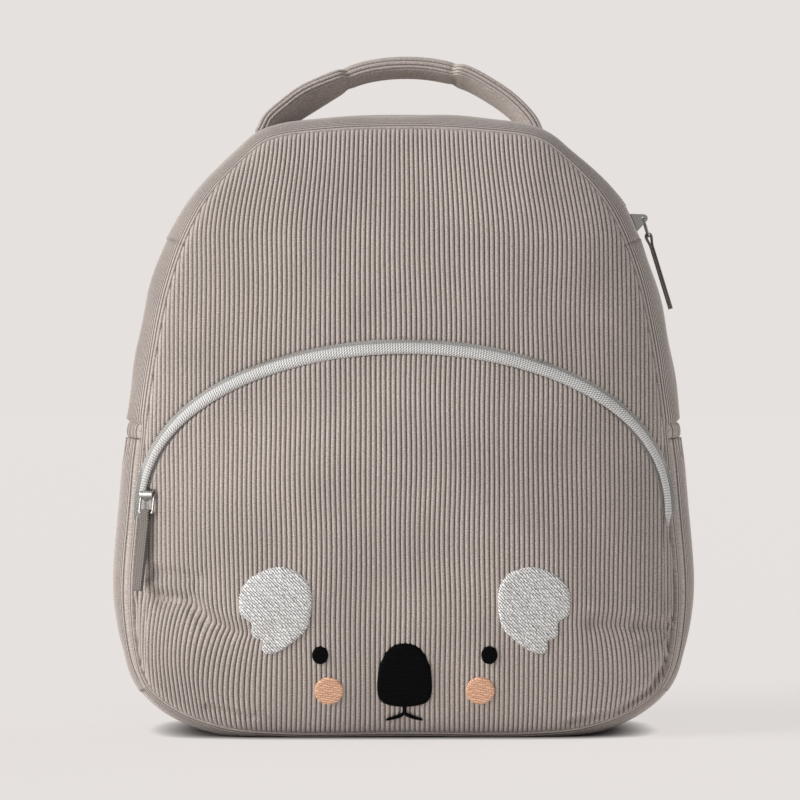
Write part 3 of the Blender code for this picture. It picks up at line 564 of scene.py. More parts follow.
class Effects:
    """The shader groups that several finishes share."""

    def __init__(self) -> None:
        """Build each group once."""
        self.wales = self.build_wales()
        self.fuzz = self.build_fuzz()
        self.weave = self.build_weave()
        self.stitches = self.build_stitches()

    @staticmethod
    def build_wales() -> bpy.types.NodeTree:
        """Ridges of corduroy from a cloth coordinate that counts them in X."""
        bench, given, out = make_group(
            "wales", {"Cloth": ("Vector", None)}, {"Ridge": "Float", "Pile": "Float"}
        )
        parts = bench.add("SeparateXYZ", {0: given.outputs["Cloth"]})
        wave = bench.math("SINE", bench.math("MULTIPLY", parts.outputs[0], math.pi))
        ridge = bench.math("POWER", bench.math("ABSOLUTE", wave), 0.75)
        along = bench.math("MULTIPLY", parts.outputs[1], 1500.0)
        side = bench.math("MULTIPLY", parts.outputs[0], 2.2)
        spot = bench.add("CombineXYZ", {0: side, 1: along})
        pile = bench.noise(spot.outputs[0], 1.0, 2.0)
        bench.feed(out.inputs["Ridge"], ridge)
        bench.feed(out.inputs["Pile"], pile)
        return bench.tree

    @staticmethod
    def build_fuzz() -> bpy.types.NodeTree:
        """Fine fibres and the slow unevenness of dyed cloth."""
        bench, given, out = make_group(
            "fuzz",
            {"Vector": ("Vector", None), "Scale": ("Float", 1800.0)},
            {"Fibres": "Float", "Patches": "Float"},
        )
        vector = given.outputs["Vector"]
        bench.feed(out.inputs["Fibres"], bench.noise(vector, given.outputs["Scale"], 3.0))
        bench.feed(out.inputs["Patches"], bench.noise(vector, 26.0, 3.0))
        return bench.tree

    @staticmethod
    def build_weave() -> bpy.types.NodeTree:
        """Threads that cross over and under, from a coordinate in metres."""
        bench, given, out = make_group(
            "weave",
            {"Cloth": ("Vector", None), "Pitch": ("Float", 0.0008), "Slant": ("Float", 1.0)},
            {"Height": "Float"},
        )
        parts = bench.add("SeparateXYZ", {0: given.outputs["Cloth"]})
        count_x = bench.math("DIVIDE", parts.outputs[0], given.outputs["Pitch"])
        count_y = bench.math("DIVIDE", parts.outputs[1], given.outputs["Pitch"])
        lean = bench.math("MULTIPLY", count_y, given.outputs["Slant"])
        diagonal = bench.math("ADD", count_x, lean)
        rib = bench.math("ABSOLUTE", bench.math("SINE", bench.math("MULTIPLY", diagonal, math.pi)))
        cross = bench.math("SINE", bench.math("MULTIPLY", count_y, math.tau))
        bumps = bench.math("MULTIPLY", bench.math("ADD", cross, 1.0), 0.22)
        bench.feed(out.inputs["Height"], bench.math("ADD", bench.math("MULTIPLY", rib, 0.6), bumps))
        return bench.tree

    @staticmethod
    def build_stitches() -> bpy.types.NodeTree:
        """Rows of filling stitches, from a coordinate in metres."""
        bench, given, out = make_group(
            "stitches",
            {"Cloth": ("Vector", None), "Pitch": ("Float", 0.0004), "Stitch": ("Float", 0.0035)},
            {"Thread": "Float", "Pricks": "Float"},
        )
        parts = bench.add("SeparateXYZ", {0: given.outputs["Cloth"]})
        row = bench.math("DIVIDE", parts.outputs[0], given.outputs["Pitch"])
        place = bench.math("DIVIDE", parts.outputs[1], given.outputs["Stitch"])
        spot = bench.add("CombineXYZ", {0: row, 1: place})
        streaks = bench.noise(spot.outputs[0], 1.0, 2.0)
        row = bench.math("ADD", row, bench.math("MULTIPLY", streaks, 1.4))
        lines = bench.math("ABSOLUTE", bench.math("SINE", bench.math("MULTIPLY", row, math.pi)))
        thread = bench.math("MULTIPLY", lines, bench.spread(streaks, 0.3, 1.3))
        number = bench.math("FLOOR", row)
        start = bench.math("FRACT", bench.math("MULTIPLY", number, 0.382))
        place = bench.math("FRACT", bench.math("ADD", place, start))
        near = bench.math("ABSOLUTE", bench.math("SUBTRACT", place, 0.5))
        bench.feed(out.inputs["Thread"], thread)
        bench.feed(out.inputs["Pricks"], bench.ramp(near, 0.0, 0.09))
        return bench.tree


@dataclass(frozen=True)
class Finish:
    """What all finishes share: a material with one Principled shader."""

    name: str
    slot: Slot
    roughness: float
    sheen: float

    def start(self) -> tuple[bpy.types.Material, NodeBench, bpy.types.Node]:
        """A new material, a bench on its nodes and its shader."""
        material = bpy.data.materials.new(self.name)
        material.use_nodes = True
        shader = material.node_tree.nodes["Principled BSDF"]
        shader.inputs["Roughness"].default_value = self.roughness
        shader.inputs["Sheen Weight"].default_value = self.sheen
        shader.inputs["Sheen Roughness"].default_value = 0.45
        return material, NodeBench(material.node_tree), shader

    @staticmethod
    def group(bench: NodeBench, tree: bpy.types.NodeTree, feeds: dict) -> bpy.types.Node:
        """Place a shared group."""
        node = bench.add("Group", node_tree=tree)
        for key, value in feeds.items():
            bench.feed(node.inputs[key], value)
        return node

    @staticmethod
    def cloth(bench: NodeBench) -> bpy.types.NodeSocket:
        """The piece's own cloth coordinate."""
        return bench.add("Attribute", attribute_name="cloth").outputs["Vector"]

    @staticmethod
    def place(bench: NodeBench) -> bpy.types.NodeSocket:
        """The object coordinate."""
        return bench.add("TexCoord").outputs["Object"]

    @staticmethod
    def bump(bench: NodeBench, shader: bpy.types.Node, height: Feed, depth: float) -> None:
        """Lay a relief of a depth over the shader."""
        node = bench.add("Bump", {"Height": height, "Distance": depth, "Strength": 1.0})
        bench.feed(shader.inputs["Normal"], node.outputs[0])


@dataclass(frozen=True)
class Corduroy(Finish):
    """Ribbed pile cloth: ridges in the cloth's own light colour, with painted shade in the grooves
    between them.
    """

    ridge: Colour = (0.50, 0.44, 0.405)
    # the dark groove colour is painted shade that falls between the wales
    groove_shade: Colour = (0.13, 0.103, 0.092)
    pile_depth: float = 0.35 * MM

    def make(self, effects: Effects) -> bpy.types.Material:
        """Build the material."""
        material, bench, shader = self.start()
        wales = self.group(bench, effects.wales, {"Cloth": self.cloth(bench)})
        fuzz = self.group(bench, effects.fuzz, {"Vector": self.place(bench), "Scale": 1500.0})
        ridge = wales.outputs["Ridge"]
        # the ridge mask blends from the painted groove shade up to the ridge colour
        level = bench.ramp(ridge, 0.05, 0.85, interpolation_type="SMOOTHSTEP")
        colour = bench.blend(level, self.groove_shade, self.ridge)
        speck = bench.spread(wales.outputs["Pile"], 0.35, 1.6)
        colour = bench.blend(1.0, colour, speck, "MULTIPLY")
        shade = bench.spread(fuzz.outputs["Patches"], 0.82, 1.16)
        colour = bench.blend(1.0, colour, shade, "MULTIPLY")
        bench.feed(shader.inputs["Base Color"], colour)
        height = bench.math("ADD", wales.outputs["Pile"], fuzz.outputs["Fibres"])
        self.bump(bench, shader, height, self.pile_depth)
        return material


@dataclass(frozen=True)
class Thread(Finish):
    """Embroidery: filling stitches side by side."""

    colour: Colour = (0.7, 0.69, 0.68)
    shadow: Colour = (0.25, 0.24, 0.24)
    pitch: float = 1.1 * MM
    stitch: float = 2.6 * MM
    depth: float = 0.5 * MM
    gloss: float = 0.5

    def make(self, effects: Effects) -> bpy.types.Material:
        """Build the material."""
        material, bench, shader = self.start()
        shader.inputs["Specular IOR Level"].default_value = self.gloss
        feeds = {"Cloth": self.cloth(bench), "Pitch": self.pitch, "Stitch": self.stitch}
        rows = self.group(bench, effects.stitches, feeds)
        fuzz = self.group(bench, effects.fuzz, {"Vector": self.place(bench), "Scale": 2600.0})
        level = bench.math("MULTIPLY", rows.outputs["Thread"], rows.outputs["Pricks"])
        level = bench.math("MULTIPLY", level, bench.spread(fuzz.outputs["Fibres"], 0.5, 1.3))
        level = bench.ramp(level, 0.0, 0.62)
        bench.feed(shader.inputs["Base Color"], bench.blend(level, self.shadow, self.colour))
        self.bump(bench, shader, rows.outputs["Thread"], self.depth)
        return material


@dataclass(frozen=True)
class Weave(Finish):
    """Woven cloth or tape."""

    colour: Colour = (0.2, 0.19, 0.19)
    shadow: Colour = (0.08, 0.075, 0.075)
    pitch: float = 0.8 * MM
    slant: float = 0.5
    depth: float = 0.3 * MM

    def make(self, effects: Effects) -> bpy.types.Material:
        """Build the material."""
        material, bench, shader = self.start()
        feeds = {"Cloth": self.cloth(bench), "Pitch": self.pitch, "Slant": self.slant}
        weave = self.group(bench, effects.weave, feeds)
        fuzz = self.group(bench, effects.fuzz, {"Vector": self.place(bench), "Scale": 2200.0})
        level = bench.math("MULTIPLY", weave.outputs["Height"], 1.1)
        level = bench.math("MULTIPLY", level, bench.spread(fuzz.outputs["Fibres"], 0.7, 1.3))
        colour = bench.blend(level, self.shadow, self.colour)
        shade = bench.spread(fuzz.outputs["Patches"], 0.85, 1.15)
        bench.feed(shader.inputs["Base Color"], bench.blend(1.0, colour, shade, "MULTIPLY"))
        self.bump(bench, shader, weave.outputs["Height"], self.depth)
        return material


@dataclass(frozen=True)
class Smooth(Finish):
    """Metal or moulded plastic with a fine grain."""

    colour: Colour = (0.7, 0.7, 0.7)
    metallic: float = 0.0
    grain: float = 900.0
    depth: float = 0.02 * MM

    def make(self, effects: Effects) -> bpy.types.Material:
        """Build the material."""
        material, bench, shader = self.start()
        shader.inputs["Metallic"].default_value = self.metallic
        fuzz = self.group(bench, effects.fuzz, {"Vector": self.place(bench), "Scale": self.grain})
        shade = bench.spread(fuzz.outputs["Patches"], 0.85, 1.1)
        bench.feed(
            shader.inputs["Base Color"], bench.blend(1.0, self.colour, shade, "MULTIPLY")
        )
        rough = bench.spread(fuzz.outputs["Fibres"], self.roughness * 0.75, self.roughness * 1.3)
        bench.feed(shader.inputs["Roughness"], rough)
        self.bump(bench, shader, fuzz.outputs["Fibres"], self.depth)
        return material


class Wardrobe:
    """Every finish of the bag, made once and looked up by its slot."""

    FINISHES = (
        Corduroy("corduroy", Slot.CORDUROY, 0.9, 0.25),
        Weave("zip_tape", Slot.ZIP_TAPE, 0.8, 0.1, (0.60, 0.59, 0.57), (0.12, 0.115, 0.11)),
        Weave(
            "zip_coil", Slot.ZIP_COIL, 0.4, 0.0, (0.9, 0.895, 0.885), (0.06, 0.058, 0.055), 1.25 * MM,
            0.8, 0.35 * MM
        ),
        Smooth("metal", Slot.METAL, 0.28, 0.0, (0.46, 0.45, 0.43), 1.0),
        Weave("pull_tab", Slot.PULL_TAB, 0.85, 0.2, (0.26, 0.225, 0.205), (0.06, 0.05, 0.045), 1.2 * MM),
        Weave("back_cloth", Slot.BACK_CLOTH, 0.85, 0.2, (0.22, 0.21, 0.21), (0.09, 0.085, 0.085)),
        Weave("webbing", Slot.WEBBING, 0.75, 0.1, (0.12, 0.12, 0.12), (0.03, 0.03, 0.03), 1.6 * MM),
        Smooth("buckle", Slot.BUCKLE, 0.42, 0.0, (0.04, 0.04, 0.042)),
        Thread("silver_thread", Slot.SILVER_THREAD, 0.5, 0.15, (1.0, 0.995, 0.99), (0.14, 0.14, 0.14)),
        Thread(
            "black_thread", Slot.BLACK_THREAD, 0.7, 0.0, (0.004, 0.004, 0.005), (0.001, 0.001, 0.001),
            gloss=0.05
        ),
        Thread("peach_thread", Slot.PEACH_THREAD, 0.5, 0.1, (1.0, 0.60, 0.40), (0.60, 0.28, 0.16)),
    )

    def __init__(self) -> None:
        """Make all the materials."""
        effects = Effects()
        self.made = {finish.slot: finish.make(effects) for finish in self.FINISHES}

    def coat(self, piece: bpy.types.Object, slot: Slot) -> None:
        """Give an object its material."""
        piece.data.materials.clear()
        piece.data.materials.append(self.made[slot])

    def dress(self, piece: bpy.types.Object, slot: Slot, body: str = "bag") -> bpy.types.Object:
        """Give a piece its finish and its body, and report it.

        Args:
            piece: the object.
            slot: the slot that it takes its finish from.
            body: the body that it rides on.

        Returns:
            The same object.
        """
        self.coat(piece, slot)
        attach(piece, body)
        LOG.info("%s: %d faces, %s", piece.name, len(piece.data.polygons), slot.value)
        return piece


def wrap_cloth(name: str, wrap: np.ndarray, cloth: np.ndarray) -> bpy.types.Object:
    """A closed piece from a grid whose first and last rows meet.

    Args:
        name: the object's name.
        wrap: rows of points that run once round the piece.
        cloth: the two cloth coordinates of each point.

    Returns:
        The object, with the coordinates in its attribute named cloth.
    """
    rows, columns = wrap.shape[:2]
    shape = bmesh.new()
    bmesh.ops.create_grid(shape, x_segments=columns - 1, y_segments=rows - 1, size=1)
    mesh = bpy.data.meshes.new(name)
    shape.to_mesh(mesh)
    shape.free()
    mesh.vertices.foreach_set("co", wrap.astype(np.float32).ravel())
    marks = np.concatenate([cloth, np.zeros((rows, columns, 1))], axis=2)
    held = mesh.attributes.new("cloth", "FLOAT_VECTOR", "POINT")
    held.data.foreach_set("vector", marks.astype(np.float32).ravel())
    shape = bmesh.new()
    shape.from_mesh(mesh)
    bmesh.ops.remove_doubles(shape, verts=shape.verts, dist=0.000002)
    rims = [edge for edge in shape.edges if edge.is_boundary]
    if rims:
        bmesh.ops.holes_fill(shape, edges=rims, sides=0)
    bmesh.ops.recalc_face_normals(shape, faces=shape.faces)
    shape.to_mesh(mesh)
    shape.free()
    mesh.shade_smooth()
    return linked(name, mesh)


def cloth_slab(
    name: str,
    surface: np.ndarray,
    outward: np.ndarray,
    relief: np.ndarray,
    cloth: np.ndarray,
    wall: float,
    lining_step: int = 12,
) -> bpy.types.Object:
    """A piece of cloth with a wall behind its face.

    Args:
        name: the object's name.
        surface: rows of points on the smooth face.
        outward: the direction out of the bag at each point.
        relief: how far each point stands off the smooth face.
        cloth: the two cloth coordinates of each point.
        wall: thickness of the cloth.
        lining_step: how many rows of the face go to one row of the inner side.

    Returns:
        The object.
    """
    rows = len(surface)
    face = surface + outward * relief[..., None]
    picks = np.unique(np.append(np.arange(0, rows, lining_step), rows - 1))[::-1]
    lining = surface[picks] - outward[picks] * wall
    ends = []
    for last, before in ((-1, -3), (0, 2)):
        edgeward = unit(surface[last] - surface[before])
        ends.append(surface[last] - outward[last] * wall * 0.45 + edgeward * wall * 0.16)
    wrap = np.concatenate([face, ends[0][None], lining, ends[1][None], face[:1]])
    marks = np.concatenate([cloth, cloth[-1:], cloth[picks], cloth[:1], cloth[:1]])
    return wrap_cloth(name, wrap, marks)


def cloth_tube(
    name: str, line: np.ndarray, sections: np.ndarray, sideways: np.ndarray
) -> bpy.types.Object:
    """A closed piece with sections along a line.

    Args:
        name: the object's name.
        line: the points that it follows.
        sections: for each point, the section's points as offsets sideways and upward.
        sideways: for each point or for all, the direction of the section's width.

    Returns:
        The object; its cloth coordinates are metres round and along it.
    """
    along = unit(np.gradient(line, axis=0))
    wide = np.broadcast_to(sideways, line.shape)
    wide = unit(wide - along * (along * wide).sum(axis=1, keepdims=True))
    thick = np.cross(along, wide)
    rings = (
        line[:, None]
        + wide[:, None] * sections[..., :1]
        + thick[:, None] * sections[..., 1:]
    )
    closed = np.concatenate([rings, rings[:, :1]], axis=1)
    marks = paired(gone_along(closed[len(line) // 2])[:, None], gone_along(line))
    return wrap_cloth(name, closed.transpose(1, 0, 2), marks)


def rounded_bar(width: float, height: float, sides: int, power: float = 2.6) -> np.ndarray:
    """Points round a soft flat section."""
    turns = np.linspace(0, 2 * math.pi, sides, endpoint=False)
    c, s = np.cos(turns), np.sin(turns)
    x = np.sign(c) * np.abs(c) ** (2 / power) * width / 2
    y = np.sign(s) * np.abs(s) ** (2 / power) * height / 2
    return np.stack([x, y], axis=1)


@dataclass
class Ribs:
    """The corduroy's wales as real relief."""

    pitch: float = 2.33 * MM
    height: float = 0.95 * MM
    per_wale: int = 6
    roundness: float = 0.6
    sunk: float = 0.7
    # how far, in wales, the painted groove shade is moved up the ridge's flank
    groove_shade_shift: float = 0.15

    def groove_shade_marks(self, count: np.ndarray, across: np.ndarray) -> np.ndarray:
        """Marks whose painted groove shade lies a little up the ridge that faces the nearer seam, where
        a grazing view sees it.
        """
        return count + self.groove_shade_shift * np.clip(across * 4, -1, 1)

    def relief(self, count: np.ndarray) -> np.ndarray:
        """Height over the smooth face where so many wales have been counted."""
        return self.height * (np.abs(np.sin(math.pi * count)) ** self.roundness - self.sunk)


@dataclass
class FrontFace:
    """The front above the pocket's zip, and the pocket below it."""

    form: BagForm
    ribs: Ribs
    wall: float = 3 * MM
    rows: int = 104
    upper_edge: float = 3.6 * MM
    pocket_edge: float = -1.6 * MM
    seam_roll: float = 0.5 * MM
    zip_roll: float = 1.3 * MM
    roll_width: float = 2.4 * MM
    top_narrowing: float = 0.09
    sway: float = 0.5 * MM
    sway_length: float = 90 * MM
    unevenness: float = 0.55 * MM
    crest_gap: float = 50 * MM

    def __post_init__(self) -> None:
        """Lay the wales out by their arc length across the pocket."""
        edge = self.form.seam_half_width - self.form.gap
        x = edge * np.sin(np.linspace(-math.pi / 2, math.pi / 2, 2001))
        full = self.form.front_fullness + self.form.pocket_fullness
        y = full * (1 - (x / edge) ** 2) ** self.form.face_power
        self.table_x = x
        arc = gone_along(np.stack([x, y], axis=1))
        self.table_arc = arc - arc[-1] / 2

    def wale_x(self, count: np.ndarray, z: np.ndarray, pocket: bool) -> np.ndarray:
        """Where a wale lies at a height; in the pocket it leans and kinks at the folds."""
        narrow = 1 + self.top_narrowing * eased((z - 235 * MM) / (55 * MM))
        sway = ripples(count * self.ribs.pitch, z, 5, self.sway, self.sway_length)
        x = np.interp(count * self.ribs.pitch / narrow, self.table_arc, self.table_x)
        if pocket:
            for line_x, line_z, size, near, far in WALE_KINKS:
                fold = np.interp(x, np.array(line_x) * MM, np.array(line_z) * MM)
                shift = np.interp((z - fold) / MM, *smooth_line(np.array(KINK_SHAPE)).T)
                hold = eased((x / MM - near) / (far - near))
                sway = sway + size * MM * shift * hold
        return x + sway * (1 - (x / self.table_x[-1]) ** 6)

    def edge_height(self, x: np.ndarray, offset: float) -> tuple[np.ndarray, np.ndarray]:
        """The zip's edge over x.

        Args:
            x: across the bag.
            offset: the edge's distance from the zip's centreline.

        Returns:
            The heights, and the cosine of the edge's slope.
        """
        line = self.form.zip_line(offset, 801, 0.4)
        slope = np.gradient(line[:, 1]) / np.gradient(line[:, 0])
        height = np.interp(x, line[:, 0], line[:, 1])
        beyond = np.maximum(np.abs(x) - line[-1, 0], 0)
        return height - 0.4 * beyond, 1 / np.hypot(1, np.interp(x, line[:, 0], slope))

    def sewn_panel(self, name: str, pocket: bool) -> bpy.types.Object:
        """One of the two panels.

        Args:
            name: the object's name.
            pocket: whether it is the pocket.

        Returns:
            The object.
        """
        offset = self.pocket_edge if pocket else self.upper_edge
        total = self.table_arc[-1] / self.ribs.pitch * 1.1
        step = 1 / self.ribs.per_wale
        count = np.arange(-math.floor(total / step), math.floor(total / step) + 1) * step
        z = np.arange(0.0, self.form.seam_height + 3.5 * MM, 0.5 * MM)
        x = self.wale_x(count[None, :], z[:, None], pocket)
        edge = self.edge_height(x, offset)[0]
        inside = 1 - self.form.face.reach(x, z[:, None])
        beside = (edge - z[:, None]) if pocket else (z[:, None] - edge)
        room = np.minimum(inside * 0.1, beside)
        if not pocket:
            room = np.minimum(room, z[:, None] - self.form.zip_foot + 1.5 * MM)
        held = (room > 0).sum(axis=0) > 1
        count, room = count[held], room[:, held]
        low = np.argmax(room > 0, axis=0)
        high = len(z) - 1 - np.argmax(room[::-1] > 0, axis=0)
        ids = np.arange(len(count))

        def crossing(inner: np.ndarray, outer: np.ndarray) -> np.ndarray:
            outer = np.clip(outer, 0, len(z) - 1)
            share = room[inner, ids] / (room[inner, ids] - room[outer, ids] - 1e-12)
            return z[inner] + np.clip(share, 0, 1) * (z[outer] - z[inner])

        z_low, z_high = crossing(low, low - 1), crossing(high, high + 1)
        run = np.linspace(0, 1, self.rows)
        run = 0.55 * run + 0.45 * (0.5 - 0.5 * np.cos(math.pi * run))
        z = z_low + (z_high - z_low) * run[:, None]
        x = self.wale_x(count[None, :], z, pocket)
        return self.lay(name, pocket, offset, count, x, z)

    def lay(
        self,
        name: str,
        pocket: bool,
        offset: float,
        count: np.ndarray,
        x: np.ndarray,
        z: np.ndarray,
    ) -> bpy.types.Object:
        """Lay the cloth over the form.

        Args:
            name: the object's name.
            pocket: whether it is the pocket.
            offset: the panel's edge at the zip.
            count: the wales' numbers of the columns.
            x: across the bag, for each point.
            z: above the floor, for each point.

        Returns:
            The object.
        """
        y = self.form.front_y(x, z, pocket)
        outward = self.form.front_normal(x, z, pocket)
        reach = np.minimum(self.form.face.reach(x, z), 1.0)
        surface = np.stack([x, y, z], axis=-1)
        edge, slope = self.edge_height(x, offset)
        away = np.abs(edge - z) * slope
        roll = self.zip_roll * (1 - np.clip(away / self.roll_width, 0, 1)) ** 2
        roll = roll + self.seam_roll * eased((reach - 0.982) / 0.018)
        seed = 11 if pocket else 12
        waves = ripples(x, z, seed, self.unevenness, self.crest_gap) * (1 - reach**4)
        surface = surface + outward * (waves - roll)[..., None]
        ribs = self.ribs.relief(count)[None, :] * (0.45 + 0.55 * eased((1 - reach) / 0.03))
        return cloth_slab(name, surface, outward, ribs, paired(count, z), self.wall)

    def build(self, wardrobe: Wardrobe) -> None:
        """Make both panels."""
        for name, node, pocket in (
            ("front_cloth", "front_panel", False),
            ("pocket_cloth", "front_pocket", True),
        ):
            piece = self.sewn_panel(name, pocket)
            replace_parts(wardrobe.dress(piece, Slot.CORDUROY), node)


@dataclass
class GussetBand:
    """The corduroy band between the front and back seams."""

    form: BagForm
    ribs: Ribs
    rib_share: float = 0.55
    unevenness: float = 0.5 * MM
    crest_gap: float = 45 * MM
    sink: float = 0.1 * MM
    clearance: float = 0.45 * MM

    def across_table(self) -> tuple[np.ndarray, np.ndarray]:
        """Places across the band and their arc lengths from its middle."""
        turns = np.sin(np.linspace(-math.pi / 2, math.pi / 2, 801))
        out = self.form.gusset_fullness * (1 - turns**2) ** self.form.gusset_power
        arc = gone_along(np.stack([turns * self.form.depth / 2, out], axis=1))
        return turns, arc - arc[-1] / 2

    def strip(
        self, name: str, shares: np.ndarray, low: float, high: float, seed: int
    ) -> bpy.types.Object:
        """A length of the band.

        Args:
            name: the object's name.
            shares: places along the seam.
            low: its front edge, from -1 to 1 across the band.
            high: its back edge.
            seed: picks its unevenness.

        Returns:
            The object.
        """
        turns, arc = self.across_table()
        first, last = np.interp([low, high], turns, arc) / self.ribs.pitch
        steps = int(round((last - first) * self.ribs.per_wale))
        count = np.linspace(first, last, steps + 1)
        across = np.interp(count * self.ribs.pitch, arc, turns)[:, None]
        surface, outward = self.form.gusset_face(shares[None, :], across, 0.0)
        gone = shares * self.form.seam.length()
        depth = across * self.form.depth / 2
        waves = ripples(depth, gone[None, :], seed, self.unevenness, self.crest_gap)
        waves = waves * (1 - np.abs(across) ** 8)
        surface = surface + outward * (waves - self.sink)[..., None]
        ribs = self.ribs.relief(count)[:, None] * self.rib_share
        surface[..., 2] = np.maximum(surface[..., 2], self.clearance)
        # cloth marks with the painted groove shade moved toward the nearer seam
        cloth = paired(self.ribs.groove_shade_marks(count[:, None], across), gone)
        return cloth_slab(name, surface, outward, ribs, cloth, self.form.gusset_wall)

    def build(self, wardrobe: Wardrobe) -> None:
        """Make the three strips."""
        end = self.form.seam.side(self.form.main_zip_foot)
        edge = self.form.slot / self.form.depth
        base = np.linspace(-end, end, 270)
        top = np.linspace(end, 1 - end, 130)
        for name, node, shares, low, high, seed in (
            ("band_base", "gusset_base", base, -1.0, 1.0, 21),
            ("band_front", "gusset_front", top, -1.0, -edge, 22),
            ("band_back", "gusset_back", top, edge, 1.0, 23),
        ):
            piece = self.strip(name, shares, low, high, seed)
            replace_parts(wardrobe.dress(piece, Slot.CORDUROY), node)


@dataclass
class SidePockets:
    """The cloth pockets on the sides with their gathered hems."""

    form: BagForm
    ribs: Ribs
    hollow: float = 2.6 * MM
    hem_hollow: float = 1.1 * MM
    span: float = 0.96
    wall: float = 1.5 * MM
    hem_wall: float = 1.8 * MM
    gathers: int = 13
    gather_height: float = 14 * MM
    pleat: float = 0.9 * MM
    hem_roll: float = 1.2 * MM
    rib_share: float = 0.6

    def stand(self, height: np.ndarray, across: np.ndarray, wall: float) -> np.ndarray:
        """How far the pocket's outer face stands off the gusset."""
        up = (height - self.form.side_pocket_foot) / (
            self.form.side_pocket_top - self.form.side_pocket_foot
        )
        full = self.hollow * (0.1 + 0.9 * eased(up * 2.2))
        full = full + (self.hem_hollow - self.hollow) * eased((up - 0.88) / 0.12)
        arch = np.sqrt(np.maximum(1 - (across / self.span) ** 2, 0))
        sewn = eased(arch * 3) * eased(up * 7)
        return (self.form.gap + wall) * sewn + full * arch

    def panel(self, name: str, sign: int, low: float, high: float, hem: bool) -> bpy.types.Object:
        """The pocket's cloth or its hem.

        Args:
            name: the object's name.
            sign: 1 on the right side and -1 on the left.
            low: height of its lower edge.
            high: height of its upper edge.
            hem: whether it is the hem.

        Returns:
            The object.
        """
        seam = self.form.seam
        wall = self.hem_wall if hem else self.wall
        shares = np.linspace(seam.side(low), seam.side(high), 14 if hem else 64)
        half = self.span * self.form.depth / 2
        steps = int(2 * half / self.ribs.pitch * self.ribs.per_wale)
        count = np.linspace(-half, half, steps) / self.ribs.pitch
        across = (count * self.ribs.pitch / (self.form.depth / 2))[:, None]
        height = seam.at(shares)[0][:, 1][None, :]
        lift = self.stand(height, across, wall)
        surface, outward = self.form.gusset_face(shares[None, :], across, lift, True)
        up = (height - low) / (high - low)
        pleats = np.cos(across / self.span * math.pi * self.gathers) * self.pleat
        gather = eased((height - self.form.side_pocket_top) / self.gather_height + 1)
        gather = gather * (1 - (across / self.span) ** 4)
        ribs = self.ribs.relief(count)[:, None] * self.rib_share
        if hem:
            roll = np.sqrt(np.maximum(1 - (2 * up - 1) ** 2, 0)) - 1
            ribs = ribs * 0.6 + self.hem_roll * roll
        relief = ribs + pleats * gather * (0.6 if hem else 1.0)
        surface = surface * np.array([sign, 1, 1])
        outward = outward * np.array([sign, 1, 1])
        # cloth marks with the painted groove shade moved toward the nearer seam
        cloth = paired(self.ribs.groove_shade_marks(count[:, None], across), height)
        return cloth_slab(name, surface, outward, relief, cloth, wall)

    def build(self, wardrobe: Wardrobe) -> None:
        """Make both pockets."""
        foot, top = self.form.side_pocket_foot, self.form.side_pocket_top
        for side, sign in (("right", 1), ("left", -1)):
            piece = self.panel("bottle_pocket_" + side, sign, foot, top, False)
            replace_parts(wardrobe.dress(piece, Slot.CORDUROY), "side_pocket_" + side)
            low, high = top + self.form.gap, top + self.form.hem_height
            piece = self.panel("bottle_hem_" + side, sign, low, high, True)
            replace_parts(wardrobe.dress(piece, Slot.CORDUROY), "side_pocket_hem_" + side)


